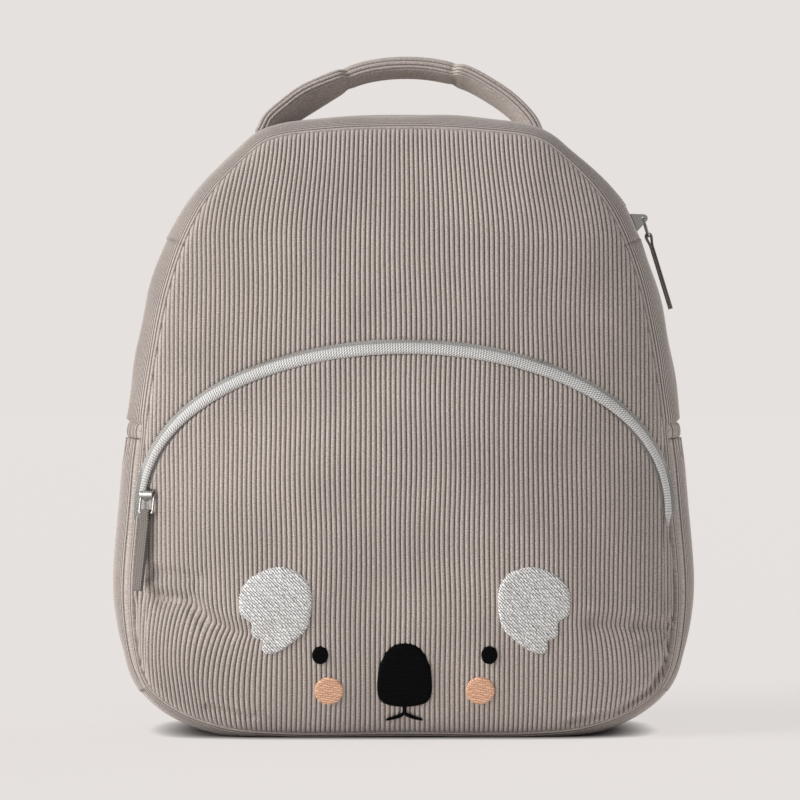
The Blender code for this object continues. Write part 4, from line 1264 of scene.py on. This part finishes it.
@dataclass
class CarryHandle:
    """The padded corduroy loop on top, with a narrower stitched grip."""

    form: BagForm
    ribs: Ribs
    half_span: float = 67.8 * MM
    rise: float = 36.4 * MM
    twist: float = math.radians(13)
    middle: float = -1.2 * MM
    width: float = 25 * MM
    thickness: float = 7 * MM
    tilt: float = math.radians(14)
    lift: float = 0.9 * MM
    place: float = 0.62
    grip_half: float = 27.5 * MM
    grip_fade: float = 3 * MM
    grip_narrowing: float = 0.32
    grip_thickening: float = 0.12
    dent_depth: float = 0.1
    dent_width: float = 2 * MM
    twist_start: float = 22 * MM
    twist_length: float = 28 * MM

    def ground(self, x: np.ndarray, y: np.ndarray) -> np.ndarray:
        """Height of the gusset's outer face under points near the top."""
        shares = np.linspace(0.33, 0.67, 341)
        heights = []
        for across_x, across_y in zip(np.ravel(x), np.ravel(y)):
            line = self.form.gusset_face(shares, across_y / (self.form.depth / 2), 0.0)[0]
            heights.append(np.interp(across_x, line[::-1, 0], line[::-1, 2]))
        return np.reshape(heights, np.shape(x))

    def build(self, wardrobe: Wardrobe) -> None:
        """Make the handle."""
        y = self.place * self.form.depth / 2
        foot = float(self.ground(np.array(self.half_span), np.array(y)))
        arch = spaced(smooth_line(np.array(HANDLE_ARCH)) * [self.half_span, self.rise], 150)
        x, up = arch[:, 0], arch[:, 1]
        line = np.stack([x + self.middle, y + up * math.sin(self.tilt), foot + up], axis=1)
        grip = eased((x + self.grip_half) / self.grip_fade + 0.5)
        grip = grip * eased((self.grip_half - x) / self.grip_fade + 0.5)
        sides = int(2 * (self.width + self.thickness) / self.ribs.pitch) * self.ribs.per_wale
        turn = np.linspace(0, 1, sides, endpoint=False)
        bar = rounded_bar(1.0, 1.0, 720, 3.4) * [self.width, self.thickness]
        bar = spaced(np.vstack([bar, bar[:1]]), sides + 1)[:-1]
        relief = self.ribs.relief(turn * sides / self.ribs.per_wale)
        normal = unit(np.stack([np.gradient(bar[:, 1]), -np.gradient(bar[:, 0])], axis=1))
        bar = bar + normal * relief[:, None]
        wide = 1 - self.grip_narrowing * grip
        thick = 1 + self.grip_thickening * grip
        sections = bar[None] * np.stack([wide, thick], axis=1)[:, None]
        dent = np.exp(-(((x + self.grip_half) / self.dent_width) ** 2))
        dent = dent + np.exp(-(((x - self.grip_half) / self.dent_width) ** 2))
        sections = sections * (1 - self.dent_depth * dent)[:, None, None]
        turned = self.tilt + self.twist * eased((-x - self.twist_start) / self.twist_length)
        sideways = np.stack([0 * x, np.cos(turned), -np.sin(turned)], axis=1)
        piece = cloth_tube("carry_handle", line, sections, sideways)
        self.count_wales(piece, sides)
        self.seat(piece)
        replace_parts(wardrobe.dress(piece, Slot.CORDUROY), "handle")

    def count_wales(self, piece: bpy.types.Object, sides: int) -> None:
        """Turn the metres round the handle into a count of its wales."""
        marks = piece.data.attributes["cloth"].data
        held = np.empty(len(marks) * 3, np.float32)
        marks.foreach_get("vector", held)
        held = held.reshape(-1, 3)
        held[:, 0] *= sides / self.ribs.per_wale / max(held[:, 0].max(), 1e-9)
        marks.foreach_set("vector", held.ravel())

    def seat(self, piece: bpy.types.Object) -> None:
        """Cut both feet to the gusset that they are sewn to."""
        spots = np.empty(len(piece.data.vertices) * 3, np.float32)
        piece.data.vertices.foreach_get("co", spots)
        spots = spots.reshape(-1, 3)
        near = np.abs(spots[:, 0]) > self.half_span * 0.8
        floor = self.ground(spots[near, 0], spots[near, 1]) + self.lift
        spots[near, 2] = np.maximum(spots[near, 2], floor)
        piece.data.vertices.foreach_set("co", spots.ravel())
        piece.data.update()


def ring_tube(
    name: str, line: np.ndarray, radius: float, up: np.ndarray, sides: int = 14
) -> bpy.types.Object:
    """A wire bent into a closed loop.

    Args:
        name: the object's name.
        line: the loop's points.
        radius: the wire's radius.
        up: the direction across the loop's plane.
        sides: how many points the wire has round it.

    Returns:
        The object.
    """
    along = unit(np.roll(line, -1, axis=0) - np.roll(line, 1, axis=0))
    wide = unit(np.cross(along, up))
    thick = np.cross(along, wide)
    turns = np.linspace(0, 2 * math.pi, sides + 1)
    rings = (
        line[:, None]
        + wide[:, None] * (radius * np.cos(turns))[None, :, None]
        + thick[:, None] * (radius * np.sin(turns))[None, :, None]
    )
    rings = np.concatenate([rings, rings[:1]])
    marks = np.zeros((*rings.shape[:2], 2))
    return wrap_cloth(name, rings.transpose(1, 0, 2), marks.transpose(1, 0, 2))


@dataclass
class ZipPull:
    """A slider's ring and its folded cloth tab."""

    prefix: str
    bore: np.ndarray
    axis: np.ndarray
    normal: np.ndarray
    hang: np.ndarray
    body: str
    ring_wire: float = 0.55 * MM
    ring_length: float = 9 * MM
    tab_width: float = 5.0 * MM
    tab_length: float = 37 * MM
    tab_wall: float = 1 * MM
    gap: float = 0.3 * MM

    def ring_line(self) -> np.ndarray:
        """The wire's centreline: a bar in the bore, two legs and a bar below."""
        corner = 1.3 * self.ring_wire
        wide = self.tab_width / 2 + 2 * self.gap + corner
        flat = []
        for x, y, start in ((wide, 0, -90), (wide, 1, 0), (-wide, 1, 90), (-wide, 0, 180)):
            centre_x = math.copysign(abs(x) - corner, x)
            centre_y = corner if y == 0 else self.ring_length - corner
            for step in np.linspace(0, 90, 7):
                turn = math.radians(start + step)
                flat.append(
                    (centre_x + corner * math.cos(turn), centre_y + corner * math.sin(turn))
                )
        flat = np.array(flat)
        loop = spaced(np.vstack([flat, flat[:1]]), 73)[:-1]
        return self.bore + self.axis * loop[:, :1] + self.hang * loop[:, 1:]

    def build(self, wardrobe: Wardrobe) -> None:
        """Make the ring and the tab."""
        ring = ring_tube(self.prefix + "_wire", self.ring_line(), self.ring_wire, self.normal)
        node = "_".join(self.prefix.split("_")[:2])
        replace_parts(wardrobe.dress(ring, Slot.METAL, self.body), node + "_ring")
        radius = self.ring_wire + self.gap
        turns = np.linspace(math.pi, 0, 15)
        outer = radius + self.tab_wall
        over = np.stack([outer * np.cos(turns), outer * np.sin(turns)], axis=1)
        down = np.linspace(0, 1, 40)[1:]
        right = np.stack(
            [outer + (self.tab_wall - outer) * eased(down * 7), -down * self.tab_length], axis=1
        )
        left = right * [-1, 1]
        outline = np.vstack([left[::-1], over, right])
        inner_turns = np.linspace(0, math.pi, 15)
        inner = np.stack([radius * np.cos(inner_turns), radius * np.sin(inner_turns)], axis=1)
        fold = np.stack([radius * (1 - eased(down * 7)), -down * self.tab_length], axis=1)
        foot = self.bore + self.hang * self.ring_length
        self.tab(wardrobe, node, foot, outline, inner, fold)

    def tab(
        self,
        wardrobe: Wardrobe,
        node: str,
        foot: np.ndarray,
        outline: np.ndarray,
        inner: np.ndarray,
        fold: np.ndarray,
    ) -> None:
        """Make the folded tab.

        Args:
            wardrobe: the finishes.
            node: start of the CAD nodes' names.
            foot: the ring's lower bar.
            outline: the tab's outer side, seen from its edge.
            inner: the side round the ring.
            fold: where the plies part below the ring.
        """
        away = 0.06 * MM
        right_in = np.stack([fold[:, 0] + away, fold[:, 1]], axis=1)[::-1]
        left_in = np.stack([-fold[:, 0] - away, fold[:, 1]], axis=1)
        loop = np.vstack([outline, right_in, inner, left_in])
        widths = np.linspace(-1, 1, 13)
        soft = 1 - 0.12 * np.abs(widths) ** 6
        spot = loop[None] * np.stack([soft, np.ones(13)], axis=1)[:, None]
        rows = (
            foot
            + self.axis * (widths * self.tab_width / 2)[:, None, None]
            + self.normal * spot[..., :1]
            - self.hang * spot[..., 1:]
        )
        rows = np.concatenate([rows, rows[:, :1]], axis=1).transpose(1, 0, 2)
        gone = np.concatenate([loop[:, 1], loop[:1, 1]])
        marks = paired(gone[:, None], widths * self.tab_width / 2)
        piece = wrap_cloth(self.prefix + "_tab", rows, marks)
        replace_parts(wardrobe.dress(piece, Slot.PULL_TAB, self.body), node + "_tab")


@dataclass
class PocketZip:
    """The front pocket's zip: tape, smooth coil, slider and pull."""

    form: BagForm
    tape_wall: float = 1 * MM
    recess: float = 1 * MM
    coil_width: float = 5.3 * MM
    coil_height: float = 3.6 * MM
    slider_length: float = 9 * MM
    lean: float = math.radians(7)
    tuck_steps: int = 8
    tuck_length: float = 7 * MM

    def path(self, offset: float, count: int) -> tuple[np.ndarray, np.ndarray]:
        """Points on the front along the zip, and their normals."""
        flat = self.form.zip_line(offset, count - 2 * self.tuck_steps, 0.6)
        down = np.arange(1, self.tuck_steps + 1) / self.tuck_steps * self.tuck_length
        drop = np.stack([np.zeros(len(down)), -down], axis=1)
        flat = np.vstack([flat[0] + drop[::-1], flat, flat[-1] + drop])
        x, z = flat[:, 0], flat[:, 1]
        place = np.stack([x, self.form.front_y(x, z, False), z], axis=1)
        normal = self.form.front_normal(x, z, False)
        sink = np.concatenate([down[::-1], np.zeros(count - 2 * len(down)), down])
        return place + np.array([0.0, 0.6, 0.0]) * sink[:, None], normal

    def build(self, wardrobe: Wardrobe) -> None:
        """Make the tape, the coil and the pull."""
        offsets = np.linspace(-3.0, 4.4, 36) * MM
        faces, normals = zip(*(self.path(offset, 420) for offset in offsets))
        surface, outward = np.array(faces), np.array(normals)
        marks = paired(offsets[:, None], gone_along(surface[0]))
        surface = surface - outward * self.recess * 0.5
        piece = cloth_slab(
            "zip_band", surface, outward, np.zeros(surface.shape[:2]), marks, self.tape_wall
        )
        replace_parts(wardrobe.dress(piece, Slot.ZIP_TAPE), "pocket_zip_tape")
        line, up = self.path(0.0, 420)
        line = line + up * (self.coil_height / 2 - self.recess + self.form.gap)
        start = int(np.argmax(np.linalg.norm(line - line[0], axis=1) > self.slider_length))
        start += self.tuck_steps
        line, up = line[start:], up[start:]
        along = unit(np.gradient(line, axis=0))
        bar = rounded_bar(self.coil_width, self.coil_height, 28, 2.0)
        share = np.abs(line[:, 0]) / self.form.zip_half_width
        slim = 1 - 0.3 * eased((share - 0.7) / 0.3)
        slim[-self.tuck_steps :] *= np.linspace(1, 0.3, self.tuck_steps)
        sections = bar[None] * slim[:, None, None]
        piece = cloth_tube("zip_tube", line, sections, np.cross(along, up))
        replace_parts(wardrobe.dress(piece, Slot.ZIP_COIL), "pocket_zip_coil")
        self.pull(wardrobe)

    def pull(self, wardrobe: Wardrobe) -> None:
        """Make the ring and tab on the slider at the left end."""
        bore, axis = hinge("pocket")
        flat = self.form.zip_line(0.0, 23)[0]
        normal = self.form.front_normal(np.array(flat[0]), np.array(flat[1]), False)
        down = unit(np.array([0, 0, -1.0]) + normal * normal[2])
        turn = Matrix.Rotation(self.lean, 3, Vector(axis))
        hang = np.array(turn @ Vector(down))
        out = unit(np.cross(axis, hang))
        out = out * np.sign(out @ normal)
        ZipPull("pocket_zip_pull", bore, axis, out, hang, "pocket_pull").build(wardrobe)
        wardrobe.coat(bpy.data.objects["pocket_zip_slider"], Slot.METAL)


@dataclass
class MainZip:
    """The main zip over the top: tape, toothed coil, slider and pull."""

    form: BagForm
    tape_wall: float = 1 * MM
    recess: float = 1 * MM
    coil_width: float = 5.3 * MM
    coil_height: float = 1.5 * MM
    tooth: float = 1.6 * MM
    tooth_relief: float = 0.16
    lean: float = math.radians(8)

    def build(self, wardrobe: Wardrobe) -> None:
        """Make the tape, the coil and the pull."""
        foot = self.form.seam.side(self.form.main_zip_foot)
        nick = self.form.gap / 2 / self.form.seam.length()
        shares = np.linspace(foot + nick, 1 - foot - nick, 200)
        half = (self.form.slot - 2 * self.form.gap) / self.form.depth
        across = np.linspace(-half, half, 14)[:, None]
        surface, outward = self.form.gusset_face(shares[None, :], across, -self.recess)
        gone = shares * self.form.seam.length()
        marks = paired(across * self.form.depth / 2, gone)
        piece = cloth_slab(
            "main_zip_band", surface, outward, np.zeros(surface.shape[:2]), marks, self.tape_wall
        )
        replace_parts(wardrobe.dress(piece, Slot.ZIP_TAPE), "main_zip_tape")
        self.coil(wardrobe, shares)
        bore, axis = hinge("main")
        normal = self.normal_at(bore)
        down = np.array([normal[2], 0, -normal[0]])
        hang = down * math.cos(self.lean) - normal * math.sin(self.lean)
        normal = normal * math.cos(self.lean) + down * math.sin(self.lean)
        ZipPull("main_zip_pull", bore, axis, normal, hang, "main_pull").build(wardrobe)
        wardrobe.coat(bpy.data.objects["main_zip_slider"], Slot.METAL)

    def normal_at(self, bore: np.ndarray) -> np.ndarray:
        """The outward direction at the place on the zip that is nearest to a point."""
        shares = np.linspace(0.2, 0.5, 600)
        face, outward = self.form.gusset_face(shares, 0.0, 0.0)
        return outward[int(np.argmin(np.linalg.norm(face - bore, axis=1)))]

    def coil(self, wardrobe: Wardrobe, shares: np.ndarray) -> None:
        """Make the coil with its teeth."""
        fine = np.linspace(shares[0], shares[-1], 1100)
        lift = self.coil_height / 2 - self.recess + self.form.gap
        line, up = self.form.gusset_face(fine, 0.0, lift)
        start = int(np.argmax(line[:, 2] > self.form.main_pull_height + 7 * MM))
        line, up = line[start:-20], up[start:-20]
        along = unit(np.gradient(line, axis=0))
        bar = rounded_bar(self.coil_width, self.coil_height, 16, 2.2)
        teeth = np.cos(gone_along(line) / self.tooth * 2 * math.pi)
        swell = 1 - self.tooth_relief * (0.5 + 0.5 * teeth) ** 2
        sections = bar[None] * swell[:, None, None]
        piece = cloth_tube("main_zip_teeth", line, sections, np.cross(along, up))
        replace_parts(wardrobe.dress(piece, Slot.ZIP_TAPE), "main_zip_coil")


@dataclass
class KoalaFace:
    """The embroidered ears, eyes, cheeks, nose and mouth on the pocket."""

    form: BagForm
    rise: float = 1.25 * MM
    shift: float = -0.3 * MM
    ear: tuple[float, float, float, float] = (60.5 * MM, 61.6 * MM, 17 * MM, 20.5 * MM)
    eye: tuple[float, float, float, float] = (39.6 * MM, 40.6 * MM, 3.8 * MM, 4.2 * MM)
    cheek: tuple[float, float, float, float] = (35.6 * MM, 23.5 * MM, 6.8 * MM, 6.5 * MM)
    nose: tuple[float, float, float, float] = (0.0, 31 * MM, 12.9 * MM, 15.3 * MM)
    mouth_top: float = 15.6 * MM
    mouth_half: float = 8.6 * MM
    mouth_drop: float = 4.4 * MM
    mouth_line: float = 2.0 * MM

    def patch(
        self, name: str, edge: np.ndarray, turn: float, wardrobe: Wardrobe, slot: Slot, rise: float
    ) -> bpy.types.Object:
        """A raised flat of stitches.

        Args:
            name: the object's name.
            edge: the points round it, as x and z.
            turn: degrees by which the stitches lean.
            wardrobe: the finishes.
            slot: the thread.
            rise: how far it stands off the pocket.

        Returns:
            The object.
        """
        edge = spaced(np.vstack([edge, edge[:1]]), 181)[:-1]
        ragged = 1 + 0.012 * np.where(np.arange(180) % 2 == 0, 1, -1)
        middle = (edge.max(axis=0) + edge.min(axis=0)) / 2
        spread = edge - middle
        levels = ((0.012, 1.0), (0.25, 1.0), (0.5, 1.0), (0.75, 0.99), (0.88, 0.96), (0.95, 0.87))
        levels += ((0.985, 0.62), (1.0, 0.25), (1.0, -0.5), (0.5, -0.5), (0.012, -0.5))
        rows, marks = [], []
        c, s = math.cos(math.radians(turn)), math.sin(math.radians(turn))
        for share, level in levels:
            jag = ragged[:, None] if share > 0.9 else 1.0
            flat = middle + spread * share * jag
            x, z = flat[:, 0], flat[:, 1]
            y = self.form.front_y(x, z, True)
            out = self.form.front_normal(x, z, True)
            rows.append(np.stack([x, y, z], axis=1) + out * rise * level)
            marks.append(np.stack([c * x + s * z, -s * x + c * z], axis=1))
        rows, marks = np.array(rows), np.array(marks)
        rows = np.concatenate([rows, rows[:, :1]], axis=1)
        marks = np.concatenate([marks, marks[:, :1]], axis=1)
        return wardrobe.dress(wrap_cloth(name, rows, marks), slot)

    def mouth(self, wardrobe: Wardrobe) -> None:
        """The stem under the nose and the two arms that fall from it."""
        arm = []
        for share in np.linspace(0, 1, 15):
            drop = self.mouth_drop * share**0.62
            thick = self.mouth_line * (1 - 0.55 * share**2)
            arm.append((share * self.mouth_half, self.mouth_top - 2.4 * MM - drop * 0.8, thick))
        top = [(x, z + t / 2) for x, z, t in arm]
        low = [(x, z - t / 2) for x, z, t in arm]
        stem = 0.9 * MM
        right = [(stem, self.mouth_top + 0.5 * MM), (stem, top[1][1])] + top[2:]
        edge = right + low[::-1]
        edge += [(-x, z) for x, z in low[1:]] + [(-x, z) for x, z in reversed(right)]
        piece = self.line_patch("smile", np.array(edge) + [self.shift, 0.0], wardrobe)
        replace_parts(piece, "mouth")

    def line_patch(self, name: str, edge: np.ndarray, wardrobe: Wardrobe) -> bpy.types.Object:
        """A thin shape of stitches, filled flat and given a wall."""
        x, z = edge[:, 0], edge[:, 1]
        out = self.form.front_normal(x, z, True)
        place = np.stack([x, self.form.front_y(x, z, True), z], axis=1)
        shape = bmesh.new()
        verts = [shape.verts.new(spot) for spot in place + out * self.rise * 0.85]
        face = shape.faces.new(verts)
        made = bmesh.ops.extrude_face_region(shape, geom=[face])
        back = [item for item in made["geom"] if isinstance(item, bmesh.types.BMVert)]
        bmesh.ops.translate(shape, verts=back, vec=(0, 1.6 * MM, 0))
        bmesh.ops.recalc_face_normals(shape, faces=shape.faces)
        mesh = bpy.data.meshes.new(name)
        layer = shape.verts.layers.float_vector.new("cloth")
        for vert in shape.verts:
            vert[layer] = (vert.co.x, vert.co.z, 0)
        shape.to_mesh(mesh)
        shape.free()
        return wardrobe.dress(linked(name, mesh), Slot.BLACK_THREAD)

    def build(self, wardrobe: Wardrobe) -> None:
        """Make the whole face."""
        ear = smooth_line(np.array(EAR_SHAPE), closed=True, per_span=6)
        nose = np.array(NOSE_SHAPE + tuple((-x, z) for x, z in reversed(NOSE_SHAPE[1:-1])))
        nose = smooth_line(nose, closed=True, per_span=6)
        turns = np.linspace(0, 2 * math.pi, 60, endpoint=False)
        disc = np.stack([np.cos(turns), np.sin(turns)], axis=1)
        for side, sign in (("left", -1), ("right", 1)):
            for part, node, loop, size, turn, slot in (
                ("ear_patch_", "ear_", ear * [-sign, 1], self.ear, 45, Slot.SILVER_THREAD),
                ("eye_patch_", "eye_", disc, self.eye, 90, Slot.BLACK_THREAD),
                ("blush_", "cheek_", disc, self.cheek, 80, Slot.PEACH_THREAD),
            ):
                edge = loop * [size[2], size[3]] + [sign * size[0] + self.shift, size[1]]
                piece = self.patch(part + side, edge, turn, wardrobe, slot, self.rise)
                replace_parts(piece, node + side)
        edge = nose * [self.nose[2], self.nose[3]] + [self.shift, self.nose[1]]
        piece = self.patch("nose_patch", edge, 90, wardrobe, Slot.BLACK_THREAD, self.rise * 1.1)
        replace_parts(piece, "nose")
        self.mouth(wardrobe)


@dataclass
class BackSide:
    """The padded back panel, the shoulder straps, their webbing and buckles."""

    form: BagForm
    wall: float = 6 * MM
    strap_width: float = 42 * MM
    strap_thickness: float = 9 * MM
    strap_top: float = 258 * MM
    strap_foot: float = 112 * MM
    strap_reach: float = 34 * MM
    strap_x_top: float = 40 * MM
    strap_x_foot: float = 66 * MM
    webbing_width: float = 20 * MM
    webbing_wall: float = 1.4 * MM
    webbing_foot_height: float = 30 * MM
    webbing_foot_x: float = 92 * MM
    buckle_bar: float = 3 * MM
    buckle_window: float = 9 * MM
    quilt: float = 34 * MM
    channel_depth: float = 1.4 * MM
    channel_width: float = 1.7 * MM
    seam_depth: float = 1.2 * MM

    def back_pad(self, wardrobe: Wardrobe) -> None:
        """Make the back panel with its quilted channels."""
        turns = np.linspace(0, 2 * math.pi, 361)
        panel = self.form.panel
        edge = np.interp(turns, panel.turns, panel.radii, period=2 * math.pi)
        share = np.append([0.0003, 0.0006, 0.0012], np.linspace(0.012, math.pi / 2, 88))
        share = np.sin(share)[:, None]
        x = panel.middle[0] + share * edge * np.cos(turns)
        z = panel.middle[1] + share * edge * np.sin(turns)
        y = self.form.back_y(x, z)
        outward = self.form.normals(self.form.back_y, x, z, 1)
        inner = eased((0.93 - share) / 0.05)
        lines = np.abs(((x / self.quilt) % 1.0) - 0.5) * self.quilt
        lines = np.minimum(lines, 6 * MM)
        channels = self.channel_depth * np.exp(-((lines / self.channel_width) ** 2)) * inner
        seam = self.seam_depth * np.exp(-(((share - 0.945) / 0.012) ** 2))
        relief = ripples(x, z, 31, 0.4 * MM, 50 * MM) * inner - channels - seam
        surface = np.stack([x, y, z], axis=-1)
        cloth = np.stack([x, z], axis=-1)
        piece = cloth_slab("back_pad", surface, outward, relief, cloth, self.wall, 10)
        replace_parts(wardrobe.dress(piece, Slot.BACK_CLOTH), "back_panel")

    def strap_line(self, sign: int) -> np.ndarray:
        """The middle of one strap, from the back panel's top to its lower end."""
        columns = (
            (0.0, 0.0, 0.0),
            (0.0, 0.0, 0.28),
            (0.06, 0.05, 0.62),
            (0.25, 0.2, 0.92),
            (0.5, 0.5, 1.0),
            (0.75, 0.8, 0.9),
            (1.0, 1.0, 0.66),
        )
        flat = []
        for down, out, behind in columns:
            x = self.strap_x_top + out * (self.strap_x_foot - self.strap_x_top)
            z = self.strap_top - down * (self.strap_top - self.strap_foot)
            y = float(self.form.back_y(np.array(x), np.array(z)))
            flat.append((sign * x, y + self.form.gap + behind * self.strap_reach, z))
        return smooth_line(np.array(flat))

    def strap(self, sign: int, side: str, wardrobe: Wardrobe) -> None:
        """Make one strap.

        Args:
            sign: 1 on the right side and -1 on the left.
            side: the side's name.
            wardrobe: the finishes.
        """
        line = spaced(self.strap_line(sign), 120)
        bar = rounded_bar(self.strap_width, self.strap_thickness, 72, 3.2)
        sections = np.repeat(bar[None], len(line), axis=0)
        out = np.abs(bar[:, 0]) / (self.strap_width / 2)
        dent = 1 - 0.3 * np.exp(-(((out - 0.84) / 0.035) ** 2))
        sections[..., 1] *= dent
        piece = cloth_tube("strap_" + side, line, sections, np.array([1.0, 0, 0]))
        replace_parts(wardrobe.dress(piece, Slot.BACK_CLOTH), "shoulder_strap_" + side)

    def webbing_line(self, sign: int) -> np.ndarray:
        """The middle of a webbing, woven through its buckle and down to the seam."""
        coarse = spaced(self.strap_line(sign), 17)
        end = coarse[-1]
        along = unit(end - coarse[-2])
        wide = unit(np.array([1.0, 0, 0]) - along * along[0])
        thick = np.cross(wide, along)
        tall = 3 * self.buckle_bar + 2 * self.buckle_window
        centre = end + along * (self.form.gap + tall / 2)
        half = self.buckle_bar / 2
        clear = half + 3 * self.form.gap + self.webbing_wall / 2
        low = half + self.buckle_window
        weave = [(-low / 2, clear), (half, clear), (low, -clear), (low + 4 * half, -clear)]
        places = [centre + along * a + thick * b for a, b in weave]
        start = places[-1]
        for down, out_share, behind in ((0.28, 0.25, 0.5), (0.6, 0.65, 0.28), (0.85, 0.95, 0.1)):
            x = abs(start[0]) + out_share * (self.webbing_foot_x - abs(start[0]))
            z = start[2] - down * (start[2] - self.webbing_foot_height)
            y = float(self.form.back_y(np.array(x), np.array(z))) + behind * self.strap_reach
            places.append(np.array([sign * x, y, z]))
        foot = np.array([self.webbing_foot_x, self.webbing_foot_height])
        y = float(self.form.back_y(foot[0], foot[1])) + self.form.gap + self.webbing_wall
        places.append(np.array([sign * foot[0], y, foot[1]]))
        return smooth_line(np.array(places), per_span=10)

    def webbing(self, sign: int, side: str, wardrobe: Wardrobe) -> None:
        """Make one webbing and give its buckle a material.

        Args:
            sign: 1 on the right side and -1 on the left.
            side: the side's name.
            wardrobe: the finishes.
        """
        line = self.webbing_line(sign)
        bar = rounded_bar(self.webbing_width, self.webbing_wall, 40, 8.0)
        sections = np.repeat(bar[None], len(line), axis=0)
        piece = cloth_tube("webbing_" + side, line, sections, np.array([1.0, 0, 0]))
        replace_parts(wardrobe.dress(piece, Slot.WEBBING), "strap_webbing_" + side)
        wardrobe.coat(bpy.data.objects["strap_buckle_" + side], Slot.BUCKLE)

    def build(self, wardrobe: Wardrobe) -> None:
        """Make everything on the back."""
        self.back_pad(wardrobe)
        for sign, side in ((1, "right"), (-1, "left")):
            self.strap(sign, side, wardrobe)
            self.webbing(sign, side, wardrobe)


@dataclass
class Studio:
    """The camera, the light and the pale floor."""

    distance: float = 2.0
    eye_height: float = 160 * MM
    aim_x: float = -1.6 * MM
    yaw: float = -0.7
    lens: float = 184.7
    # a dim diffuse colour under a strong glow of painted light, so cast shadows on the floor stay faint
    floor_colour: Colour = (0.17, 0.162, 0.158)
    floor_glow: float = 0.81
    contact_shadow_reach: float = 14 * MM
    backdrop: Colour = (0.79, 0.753, 0.73)
    sky: Colour = (0.97, 0.98, 1.0)
    sky_glow: float = 0.33

    def camera(self) -> None:
        """Stand the camera in front of the bag."""
        data = bpy.data.cameras.new("photo_camera")
        data.sensor_width = 36
        data.lens = self.lens
        data.clip_end = 100
        held = linked("photo_camera", data)
        turn = math.radians(self.yaw)
        held.location = (
            self.aim_x + self.distance * math.sin(turn),
            -self.distance * math.cos(turn),
            self.eye_height,
        )
        held.rotation_euler = (math.pi / 2, 0, turn)
        bpy.context.scene.camera = held
        bpy.context.scene.view_settings.view_transform = "Standard"

    def floor(self) -> None:
        """Lay the floor. It glows with the backdrop's colour, painted light that fills the bag's cast
        shadows, and the glow is darkened near the bag as a painted contact shadow.
        """
        shape = bmesh.new()
        bmesh.ops.create_grid(shape, x_segments=4, y_segments=4, size=40)
        mesh = bpy.data.meshes.new("studio_floor")
        shape.to_mesh(mesh)
        shape.free()
        linked("studio_floor", mesh)
        material = bpy.data.materials.new("studio_floor")
        material.use_nodes = True
        bench = NodeBench(material.node_tree)
        shader = material.node_tree.nodes["Principled BSDF"]
        shader.inputs["Roughness"].default_value = 0.9
        shader.inputs["Specular IOR Level"].default_value = 0.1
        grain = bench.spread(bench.noise(Finish.place(bench), 300.0, 2.0), 0.985, 1.015)
        bench.feed(
            shader.inputs["Base Color"], bench.blend(1.0, self.floor_colour, grain, "MULTIPLY")
        )
        # painted contact shadow: the floor's glow is darkened where ambient occlusion finds the bag
        # close by
        nook = bench.add("AmbientOcclusion", {"Distance": self.contact_shadow_reach})
        shade = bench.ramp(nook.outputs["AO"], 0.1, 0.8)
        glow = bench.blend(1.0, self.backdrop, shade, "MULTIPLY")
        bench.feed(shader.inputs["Emission Color"], glow)
        # the floor's own glow is painted light, not a lamp
        shader.inputs["Emission Strength"].default_value = self.floor_glow
        mesh.materials.append(material)

    def lights(self) -> None:
        """Set a broad light from the upper left and a soft one from all round."""
        for name, energy, spread, way in (
            ("window", 3.25, 40, (1.68, 0.8, -0.8)),
            ("bounce", 1.2, 60, (-1.0, -0.45, -0.2)),
        ):
            data = bpy.data.lights.new(name, "SUN")
            data.energy = energy
            data.angle = math.radians(spread)
            data.color = (1.0, 0.985, 0.97)
            held = linked(name, data)
            held.rotation_euler = Vector(way).to_track_quat("-Z", "Y").to_euler()
        world = bpy.data.worlds.new("studio")
        world.use_nodes = True
        bench = NodeBench(world.node_tree)
        world.node_tree.nodes.clear()
        seen = bench.add("Background", {"Color": self.backdrop, "Strength": 1.0})
        glow = bench.add("Background", {"Color": self.sky, "Strength": self.sky_glow})
        path = bench.add("LightPath")
        mix = bench.add("MixShader", {0: path.outputs["Is Camera Ray"]})
        bench.feed(mix.inputs[1], glow.outputs[0])
        bench.feed(mix.inputs[2], seen.outputs[0])
        out = bench.add("OutputWorld")
        bench.feed(out.inputs["Surface"], mix.outputs[0])
        bpy.context.scene.world = world

    def build(self) -> None:
        """Set everything up."""
        self.camera()
        self.floor()
        self.lights()


def main() -> None:
    """Build the whole bag."""
    logging.basicConfig(level=logging.INFO, format="%(message)s")
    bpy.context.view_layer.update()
    Studio().build()
    wardrobe = Wardrobe()
    form, ribs = BagForm(), Ribs()
    sections = (
        FrontFace(form, ribs),
        GussetBand(form, ribs),
        SidePockets(form, ribs),
        CarryHandle(form, ribs),
        PocketZip(form),
        MainZip(form),
        KoalaFace(form),
        BackSide(form),
    )
    for section in sections:
        section.build(wardrobe)


if __name__ == "__main__":
    main()
